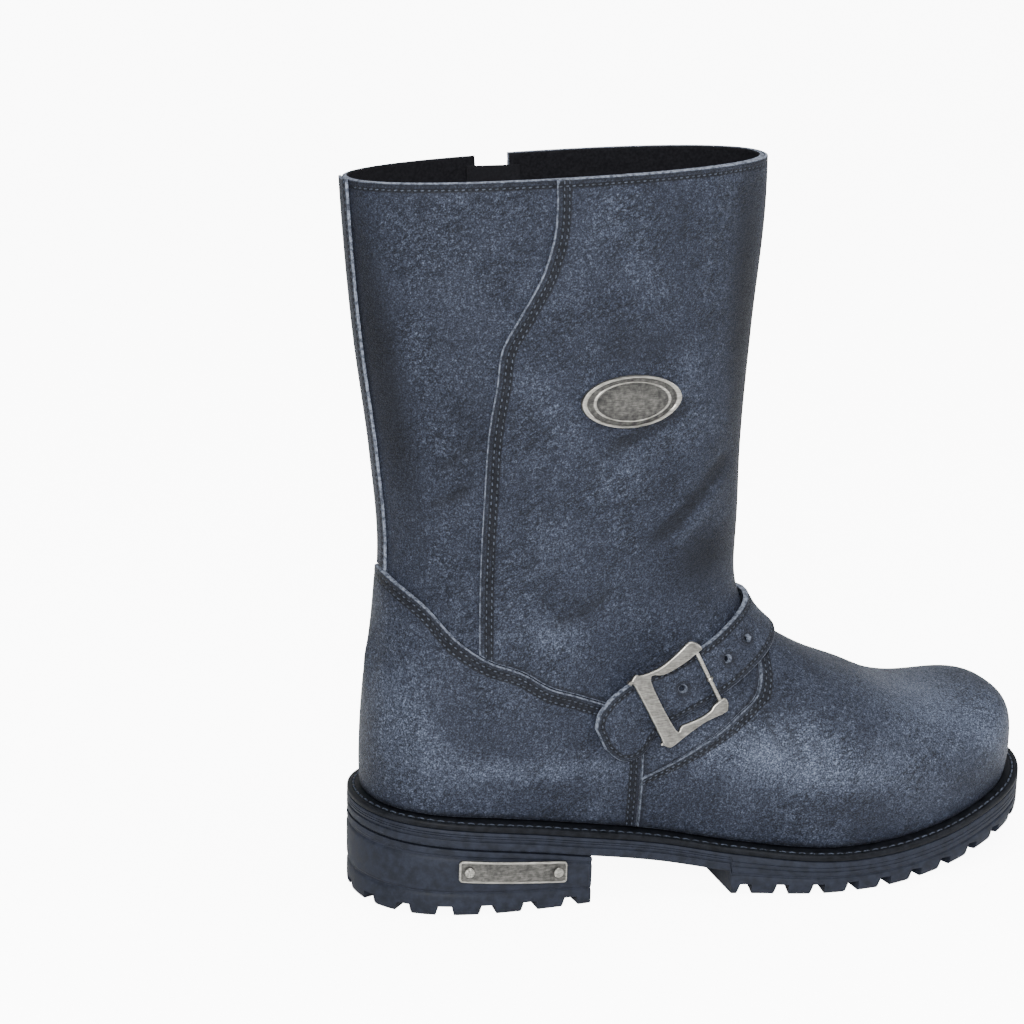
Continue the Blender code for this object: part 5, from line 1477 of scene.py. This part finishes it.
def make_zip():
    """The woven tape, the closed teeth, the slider and its pull tab."""
    behind = UPPER_FACE - WALL - CLEARANCE
    heights = np.linspace(ZIP_FOOT - TAPE_BELOW, SHAFT_HEIGHT - TAPE_DROP, 120)
    across = np.linspace(-TAPE_WIDTH / 2, TAPE_WIDTH / 2, 17)
    grid = zip_patch(heights, across)
    skin = made_skin(grid.reshape(-1, 3), grid_faces(len(heights), len(across)))
    leather("zip_tape_cloth", "zip_tape", skin,
            [(lambda skin: np.full(len(skin.data), AWAY), ())],
            behind - TAPE_THICKNESS, TAPE_THICKNESS, [TAPE], "zip_tape")
    teeth(behind + CLEARANCE)
    for name, width in (("zip_slider", 0.45 * MM), ("zip_pull", 0.35 * MM)):
        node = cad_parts[name]
        weld = node.modifiers.new("weld", "WELD")
        weld.merge_threshold = 0.02 * MM
        soften = node.modifiers.new("soften", "BEVEL")
        soften.width = width
        soften.segments = 3
        soften.limit_method = "ANGLE"
        soften.angle_limit = math.radians(30)
        node.data.materials.clear()
        node.data.materials.append(NICKEL)


TOOTH_PITCH = 1.15 * MM
TOOTH_LEVELS = ((0.0, 0.9), (0.7, 1.0), (1.0, 0.72))
TOOTH_CORNERS = ((0, -1), (1, -1), (1, 1), (0, 1))


def teeth(depth):
    """Closed zip teeth: blocks from both sides in turn along the chain."""
    run = np.linspace(ZIP_FOOT + CHAIN_THICKNESS, zip_top(), 400)
    line = zip_patch(run, [0.0])[:, 0]
    length = np.r_[0, np.cumsum(np.linalg.norm(np.diff(line, axis=0), axis=1))]
    spots = np.arange(TOOTH_PITCH / 2, length[-1], TOOTH_PITCH)
    at = np.stack([np.interp(spots, length, line[:, i]) for i in range(3)], 1)
    normals = outward(at)
    way = np.gradient(at, axis=0)
    way /= np.linalg.norm(way, axis=1, keepdims=True)
    side = np.cross(normals, way)
    points, faces = [], []
    for k in range(len(at)):
        sign = 1 if k % 2 else -1
        reach = (sign * CHAIN_WIDTH / 2, -sign * CHAIN_WIDTH * 0.14)
        start = len(points)
        for high, shrink in TOOTH_LEVELS:
            for u, v in TOOTH_CORNERS:
                wide = reach[u] * (1 if shrink == 1 else 0.94)
                points.append(at[k] + side[k] * wide + way[k] * v * TOOTH_PITCH * 0.38 * shrink
                              + normals[k] * (depth + high * CHAIN_THICKNESS))
        faces += tube_faces(start, len(TOOTH_LEVELS), len(TOOTH_CORNERS))
    made = piece("zip_teeth", np.array(points), faces, [NICKEL], "zip_metal", ("zip_chain",),
                 sharp=30)
    bm = bmesh.new()
    bm.from_mesh(made.data)
    bmesh.ops.recalc_face_normals(bm, faces=bm.faces)
    bm.to_mesh(made.data)
    bm.free()


# Sole

def outline_points(turns, inset, side):
    """Points of the sole's outline at turns from heel to toe, set in from the welt's edge."""
    step = 0.001

    def bare(turn):
        s = (1 - np.cos(turn)) / 2
        half, middle = plan(s)
        return np.stack([LAST_BACK + s * LAST_LENGTH, middle + side * half], -1)

    turns = np.clip(turns, step * 2, math.pi - step * 2)
    way = bare(turns + step) - bare(turns - step)
    way /= np.linalg.norm(way, axis=-1, keepdims=True)
    normal = np.stack([-way[:, 1], way[:, 0]], -1) * side
    at = bare(turns) + normal * (WELT_WIDTH - inset)
    at[turns <= step * 2, 1] = 0
    at[turns >= math.pi - step * 2, 1] = PLAN["shift"][-1] * BALL_WIDTH / 2
    return at


def turn_at(x):
    """The turn of the outline's parameter at x."""
    return math.acos(1 - 2 * (x - LAST_BACK) / LAST_LENGTH)


def sole_turns(start=0.0, end=math.pi, extra=()):
    """Turns along one side of the sole, close together at its ends."""
    count = max(6, round(SOLE_STATIONS * (end - start) / math.pi))
    return np.sort(np.r_[np.linspace(start, end, count + 1), list(extra)])


def loop_points(turns, inset):
    """A closed loop of the outline: the outer side to the front, then the inner side back."""
    outer = outline_points(turns, inset, -1)
    inner = outline_points(turns, inset, 1)
    at_toe = math.isclose(turns[-1], math.pi)
    last = len(turns) - 1 if at_toe else len(turns)
    return np.vstack([outer, inner[1:last][::-1]])


def outsole_top(x):
    """Top of the outsole under the welt."""
    return welt_top(x) - WELT_THICKNESS - CLEARANCE


def plate_bottom(x):
    """Underside of the outsole's plate."""
    return outsole_top(x) - PLATE_THICKNESS


def tread_bottom(x):
    """Underside of the lugs: flat on the floor at the ball, rising with the toe."""
    rise = np.maximum(welt_top(x) - BALL_STACK, 0)
    flat = np.where(x < TREAD_FLAT, 0, rise)
    return np.where(x < TREAD_START, plate_bottom(x), flat)


def notch_places(start, end, pitch):
    """Places about a pitch apart along the outline between two turns, with the way inward.

    A turn past half a circle is on the inner side, so a run can go round the toe or the heel.
    """
    turns = np.linspace(start, end, 600)

    def at_turn(turn):
        sides = np.where(np.sin(turn) > 0, -1, 1)
        back = np.where(sides < 0, turn % (2 * math.pi), -turn % (2 * math.pi))
        outer, inner = outline_points(back, 0, -1), outline_points(back, 0, 1)
        return np.where(sides[:, None] < 0, outer, inner)

    line = at_turn(turns)
    length = np.r_[0, np.cumsum(np.linalg.norm(np.diff(line, axis=0), axis=1))]
    count = int(length[-1] / pitch)
    places = []
    for k in range(count):
        at = np.interp((k + 0.5) * length[-1] / count, length, turns)
        pair = at_turn(np.array([at - 0.02, at, at + 0.02]))
        way = pair[2] - pair[0]
        inward = np.array([-way[1], way[0]]) / np.linalg.norm(way)
        places.append((pair[1], inward))
    return places


def heel_wall(x):
    """The outer side wall of the heel at x: point and outward normal in plan."""
    turn = np.array([turn_at(v) for v in x])
    at = outline_points(turn, 0, -1)
    ahead = outline_points(turn + 0.01, 0, -1) - outline_points(turn - 0.01, 0, -1)
    normal = np.stack([ahead[:, 1], -ahead[:, 0]], -1)
    return at, normal / np.linalg.norm(normal, axis=1, keepdims=True)


def tread_turns():
    """Turns along the whole sole, close together at the step where the lugs start."""
    start = turn_at(TREAD_START)
    near = np.linspace(-0.03, 0.03, 9)
    return sole_turns(extra=[*(start + near), turn_at(TREAD_FLAT)])


def stack(turns, side, bottom, top, inner=None):
    """Points and faces of a layer of the sole: loops from bottom to top, closed or a ring."""
    layers = []
    for share, aside in side:
        loop = loop_points(turns, aside * MM)
        low, high = bottom(loop[:, 0]), top(loop[:, 0])
        layers.append(np.c_[loop, low + (high - low) * share])
    count = len(layers[0])
    points = np.vstack(layers)
    faces = ring_faces(0, len(layers), count)
    if inner is None:
        for base, over in ((0, True), ((len(layers) - 1) * count, False)):
            last = len(turns) - 1
            for k in range(last):
                left, left_next = base + k, base + k + 1
                right = base + (count - k) % count
                right_next = base + (count - k - 1) % count
                face = list(dict.fromkeys([left, left_next, right_next, right]))
                faces.append(face[::-1] if over else face)
    else:
        for share in (0, 1):
            loop = loop_points(turns, inner)
            low, high = bottom(loop[:, 0]), top(loop[:, 0])
            points = np.vstack([points, np.c_[loop, low + (high - low) * share]])
        start, top_start = len(layers) * count, (len(layers) - 1) * count
        for k in range(count):
            n = (k + 1) % count
            faces += [[k, start + k, start + n, n],
                      [start + k, start + count + k, start + count + n, start + n],
                      [top_start + k, top_start + n, start + count + n, start + count + k]]
    return points, faces


def notched(name, points, faces, places, bottom, width, depth, slant):
    """A sole piece with wedge notches cut round its lower edge."""
    bm = bmesh.new()
    for (x, y), inward in places:
        floor = float(bottom(np.array([x]))[0])
        middle = Vector((x, y, floor)) + Vector((*inward, 0)) * (NOTCH_REACH * 0.2)
        turn = Matrix.Translation(middle) @ Matrix.Rotation(math.atan2(inward[1], inward[0]), 4, "Z")
        half = NOTCH_REACH * 0.7
        shape = [(-width / 2 - slant[0] * depth, -depth), (width / 2 + slant[1] * depth, -depth),
                 (width / 2 - slant[1] * depth, depth), (-width / 2 + slant[0] * depth, depth)]
        front = [bm.verts.new(turn @ Vector((-half, v, w))) for v, w in shape]
        back = [bm.verts.new(turn @ Vector((half, v * 0.8, w))) for v, w in shape]
        bm.faces.new(front)
        bm.faces.new(back[::-1])
        for k in range(4):
            n = (k + 1) % 4
            bm.faces.new((front[k], back[k], back[n], front[n]))
    bmesh.ops.recalc_face_normals(bm, faces=bm.faces)
    cutter_mesh = bpy.data.meshes.new(name + "_notches")
    bm.to_mesh(cutter_mesh)
    bm.free()
    cutter = bpy.data.objects.new(name + "_notches", cutter_mesh)
    mesh = bpy.data.meshes.new(name + "_blank")
    mesh.from_pydata(points.tolist(), [], faces)
    blank = bpy.data.objects.new(name + "_blank", mesh)
    for item in (cutter, blank):
        bpy.context.scene.collection.objects.link(item)
    step = blank.modifiers.new("notches", "BOOLEAN")
    step.operation = "DIFFERENCE"
    step.object = cutter
    bpy.context.view_layer.update()
    result = blank.evaluated_get(bpy.context.evaluated_depsgraph_get()).to_mesh()
    made_points = np.array([v.co[:] for v in result.vertices])
    made_faces = [list(face.vertices) for face in result.polygons]
    for item in (cutter, blank):
        bpy.data.objects.remove(item)
    return piece(name + "_rubber", made_points, made_faces, [RUBBER], "sole_rubber", (name,),
                 sharp=30)


# Sides of the layers: height through the layer and how far it is set in, in mm
OUTSOLE_SIDE = ((0.00, 1.3), (0.03, 0.7), (0.08, 0.3), (0.16, 0.1), (0.30, 0.0), (0.44, 0.0),
                (0.47, 0.15), (0.49, 0.6), (0.52, 0.7), (0.54, 0.6), (0.56, 0.15), (0.60, 0.0),
                (0.68, 0.0), (0.70, 0.35), (0.72, 0.0), (0.80, 0.0), (0.82, 0.35), (0.84, 0.0),
                (0.95, 0.0), (0.985, 0.15), (1.00, 0.5))
HEEL_SIDE = ((0.00, 1.4), (0.02, 0.8), (0.05, 0.4), (0.12, 0.3), (0.28, 0.3), (0.31, 0.5),
             (0.33, 0.95), (0.36, 0.95), (0.38, 0.4), (0.42, 0.2), (0.60, 0.1), (0.82, 0.0),
             (0.85, 0.2), (0.87, 0.7), (0.90, 0.7), (0.92, 0.1), (0.96, 0.0), (1.00, 0.1))
WELT_SIDE = ((0.00, 0.5), (0.06, 0.15), (0.15, 0.0), (0.60, 0.0), (0.80, 0.15), (0.92, 0.45),
             (1.00, 1.0))
WELT_GROOVE = ((1.0, 1.6), (1.0, 2.0), (0.86, 2.3), (0.82, 2.7), (0.86, 3.1), (1.0, 3.4))
WELT_ROW = 2.7 * MM


def make_sole():
    """Welt with its groove and stitches, lugged outsole, heel and insole."""
    turns = tread_turns()
    points, faces = welt_form(turns)
    piece("welt_strip", points, faces, [WELT], "welt", ("welt",), sharp=40)
    at = loop_points(turns, WELT_ROW)
    at = np.vstack([at, at[:1]])
    line = np.c_[at, welt_top(at[:, 0]), np.zeros((len(at), 2)), np.ones(len(at))]
    sew("welt_stitches", [line], lambda p: np.full(len(p), -0.15 * MM), pitch=4.2 * MM,
        size=(3.0 * MM, 0.85 * MM, 0.55 * MM), lean=0.0)
    points, faces = stack(turns, OUTSOLE_SIDE, tread_bottom, outsole_top)
    front = notch_places(turn_at(TREAD_START), 2 * math.pi - turn_at(TREAD_START), TREAD_PITCH)
    notched("outsole", points, faces, front, tread_bottom, TREAD_NOTCH_WIDTH, TREAD_NOTCH_DEPTH,
            (0.0, 0.35))
    points, faces = stack(sole_turns(end=turn_at(HEEL_BREAST)), HEEL_SIDE, lambda x: 0 * x,
                          lambda x: plate_bottom(x) - CLEARANCE)
    rear = notch_places(-turn_at(HEEL_BREAST), turn_at(HEEL_BREAST), HEEL_PITCH)
    notched("heel", points, faces, rear, lambda x: 0 * x, HEEL_NOTCH_WIDTH, HEEL_NOTCH_DEPTH,
            (0.3, 0.3))
    filled = (WELT_WIDTH + WELT_INSIDE + CLEARANCE) / MM
    walled = (WELT_WIDTH + FOOTBED_INSIDE) / MM
    share = (WELT_THICKNESS + 3 * CLEARANCE) / (WELT_THICKNESS + INSOLE_THICKNESS)
    side = ((0, filled), (share, filled), (share, walled), (0.9, walled), (0.97, walled + 0.3),
            (1, walled + 1))
    points, faces = stack(turns, side, lambda x: outsole_top(x) + CLEARANCE,
                          lambda x: outsole_top(x) + CLEARANCE + WELT_THICKNESS + INSOLE_THICKNESS)
    piece("insole_board", points, faces, [INSOLE], "insole", ("insole",), sharp=40)


def welt_form(turns):
    """The welt: a ring with a rounded edge and a groove for its stitches."""
    return stack(turns, WELT_SIDE + WELT_GROOVE, lambda x: welt_top(x) - WELT_THICKNESS, welt_top,
                 inner=WELT_WIDTH + WELT_INSIDE)


def make_heel_plate():
    """The blank plate on the heel with a raised rim and two screws."""
    length, height, thickness = HEEL_PLATE
    rows = ((0.0, 0.0), (0.0, 0.75), (0.25, 1.0), (0.8, 1.0), (1.05, 0.62), (1.4, 0.55))
    corner = 1.6 * MM
    outline = []
    for cx, cy, start in ((1, 1, 0), (-1, 1, 90), (-1, -1, 180), (1, -1, 270)):
        for t in np.linspace(start, start + 90, 9):
            outline.append((cx * (length / 2 - corner) + corner * math.cos(math.radians(t)),
                            cy * (height / 2 - corner) + corner * math.sin(math.radians(t))))
    dense = []
    for a, b in zip(outline, outline[1:] + outline[:1]):
        steps = max(1, round(math.dist(a, b) / (2 * MM)))
        dense += [(a[0] + (b[0] - a[0]) * k / steps, a[1] + (b[1] - a[1]) * k / steps)
                  for k in range(steps)]
    dense = np.array(dense)
    points, count = [], len(dense)
    for aside, up in rows:
        points.append(heel_spots(inset(dense, aside * MM), CLEARANCE + up * thickness))
    faces = []
    for i in range(len(rows) - 1):
        for k in range(count):
            n = (k + 1) % count
            faces.append([i * count + k, i * count + n, (i + 1) * count + n, (i + 1) * count + k])
    top = [(len(rows) - 1) * count + k for k in range(count)]
    faces += bridge(inset(dense, rows[-1][0] * MM), top)
    faces += [face[::-1] for face in bridge(dense, list(range(count)))]
    hollow = np.repeat([1.0, 0.6, 0.0, 0.0, 0.7, 0.75], count)
    piece("heel_plate_stamping", np.vstack(points), faces, [PEWTER], "pewter", ("heel_plate",),
          notes={"hollow": hollow}, sharp=35)
    for name, sign in (("heel_screw_rear", -1), ("heel_screw_front", 1)):
        x = sign * (length / 2 - SCREW_INSET)
        spot = heel_spots(np.array([[x, 0.0]]), CLEARANCE * 2 + thickness * 0.9)[0]
        out = heel_spots(np.array([[x, 0.0]]), CLEARANCE * 2 + thickness * 0.9 + 1 * MM)[0] - spot
        screw(name, Vector(spot), Vector(out))


def heel_spots(flat, level):
    """Points on the heel's outer wall from a flat plan, at a level off it."""
    x = HEEL_PLATE_AT[0] + flat[:, 0] * math.cos(HEEL_PLATE_TILT)
    z = HEEL_PLATE_AT[1] + flat[:, 0] * math.sin(HEEL_PLATE_TILT) + flat[:, 1]
    at, normal = heel_wall(x)
    return np.c_[at + normal * np.reshape(level, (-1, 1)), z]


def bridge(loop, ids):
    """Faces across a long loop, from its top run to its bottom run."""
    order = np.argsort(loop[:, 0], kind="stable")
    upper = [ids[k] for k in order if loop[k, 1] > 0]
    lower = [ids[k] for k in order if loop[k, 1] <= 0]
    faces = []
    i = j = 0
    while i < len(upper) - 1 or j < len(lower) - 1:
        if j == len(lower) - 1 or (i < len(upper) - 1 and i / len(upper) <= j / len(lower)):
            faces.append([lower[j], upper[i + 1], upper[i]])
            i += 1
        else:
            faces.append([lower[j], lower[j + 1], upper[i]])
            j += 1
    return faces


def screw(name, spot, out):
    """A low screw head with a cross slot."""
    half = SCREW_WIDTH / 2
    profile = [(half * 0.96, 0.0), (half, 0.25 * SCREW_HEIGHT), (half * 0.9, 0.72 * SCREW_HEIGHT),
               (half * 0.6, SCREW_HEIGHT), (half * 0.16, 1.08 * SCREW_HEIGHT)]
    points, faces = turned(profile, 48)
    depth = 0.45 * SCREW_HEIGHT
    for p in points:
        low, high = sorted((abs(p[0]), abs(p[1])))
        if low < half * 0.15 and high < half * 0.62 and p[2] > 0.6 * SCREW_HEIGHT:
            p[2] -= depth
    turn = Matrix.Translation(spot) @ out.to_track_quat("Z", "Y").to_matrix().to_4x4()
    turn = turn @ Matrix.Rotation(math.radians(20), 4, "Z")
    points = np.array([(turn @ Vector(p))[:] for p in points])
    piece(name + "_head", points, faces, [PEWTER], "pewter", (name,), sharp=30)


# Floor, light and camera

CAMERA_YAW, CAMERA_PITCH, CAMERA_ROLL = (math.radians(v) for v in (-18.04, 15.659, 1.585))
CAMERA_AIM = Vector((0.021, 0, 0.162))
CAMERA_DISTANCE = 1.18
SENSOR_WIDTH = 36
CAMERA_FOCAL = 2821.7 / 1024 * SENSOR_WIDTH


def make_camera():
    """The camera at the photograph's angle."""
    yaw, pitch, roll = CAMERA_YAW, CAMERA_PITCH, CAMERA_ROLL
    back = Vector((math.sin(yaw) * math.cos(pitch), -math.cos(yaw) * math.cos(pitch),
                   math.sin(pitch)))
    ahead = -back
    right = ahead.cross(Vector((0, 0, 1))).normalized()
    up = right.cross(ahead)
    right, up = (right * math.cos(roll) + up * math.sin(roll),
                 up * math.cos(roll) - right * math.sin(roll))
    lens = bpy.data.cameras.new("camera")
    lens.sensor_width = SENSOR_WIDTH
    lens.lens = CAMERA_FOCAL
    camera = bpy.data.objects.new("camera", lens)
    bpy.context.scene.collection.objects.link(camera)
    turn = Matrix((right, up, back)).transposed()
    camera.matrix_world = Matrix.Translation(CAMERA_AIM + back * CAMERA_DISTANCE) @ turn.to_4x4()
    bpy.context.scene.camera = camera


def make_stage():
    """A pale floor that runs up into a wall, and soft lights."""
    run, corner, tall = 3.0, 1.2, 3.0
    profile = [(-run, 0.0)] + [(run - corner + corner * math.sin(t), corner * (1 - math.cos(t)))
                               for t in np.linspace(0, math.pi / 2, 24)] + [(run, tall)]
    points = [(x, y, z) for y, z in profile for x in (-STAGE_HALF, STAGE_HALF)]
    faces = [[2 * k, 2 * k + 1, 2 * k + 3, 2 * k + 2] for k in range(len(profile) - 1)]
    mesh = bpy.data.meshes.new("floor")
    mesh.from_pydata(points, [], faces)
    mesh.materials.append(FLOOR)
    mesh.shade_smooth()
    floor = bpy.data.objects.new("floor", mesh)
    floor.location = (STAGE_AIM.x, 0, 0)
    bpy.context.scene.collection.objects.link(floor)
    world = bpy.data.worlds.new("studio")
    bpy.context.scene.world = world
    world.use_nodes = True
    world.node_tree.nodes["Background"].inputs["Color"].default_value = WORLD_COLOUR
    world.node_tree.nodes["Background"].inputs["Strength"].default_value = WORLD_LIGHT
    for name, place, size, power in LIGHTS:
        light = bpy.data.lights.new(name, "AREA")
        light.shape = "RECTANGLE"
        light.size, light.size_y = size
        light.energy = power
        lamp = bpy.data.objects.new(name, light)
        lamp.location = place
        aim = STAGE_AIM - Vector(place)
        lamp.rotation_euler = aim.to_track_quat("-Z", "Y").to_euler()
        bpy.context.scene.collection.objects.link(lamp)


STAGE_HALF = 4.0
STAGE_AIM = Vector((0.1, 0, 0.15))
WORLD_COLOUR = (0.9, 0.94, 1.0, 1)
WORLD_LIGHT = 0.5
LIGHTS = (
    ("front_light", (-0.75, -1.9, 1.1), (1.2, 1.0), 105),
    ("top_light", (0.35, -0.1, 2.2), (1.6, 1.6), 50),
    ("right_light", (2.0, -1.0, 0.9), (0.9, 1.2), 26),
)

make_camera()
make_stage()
make_uppers()
make_strap()
make_buckle()
make_zip()
make_shaft_plate()
make_heel_plate()
make_sole()
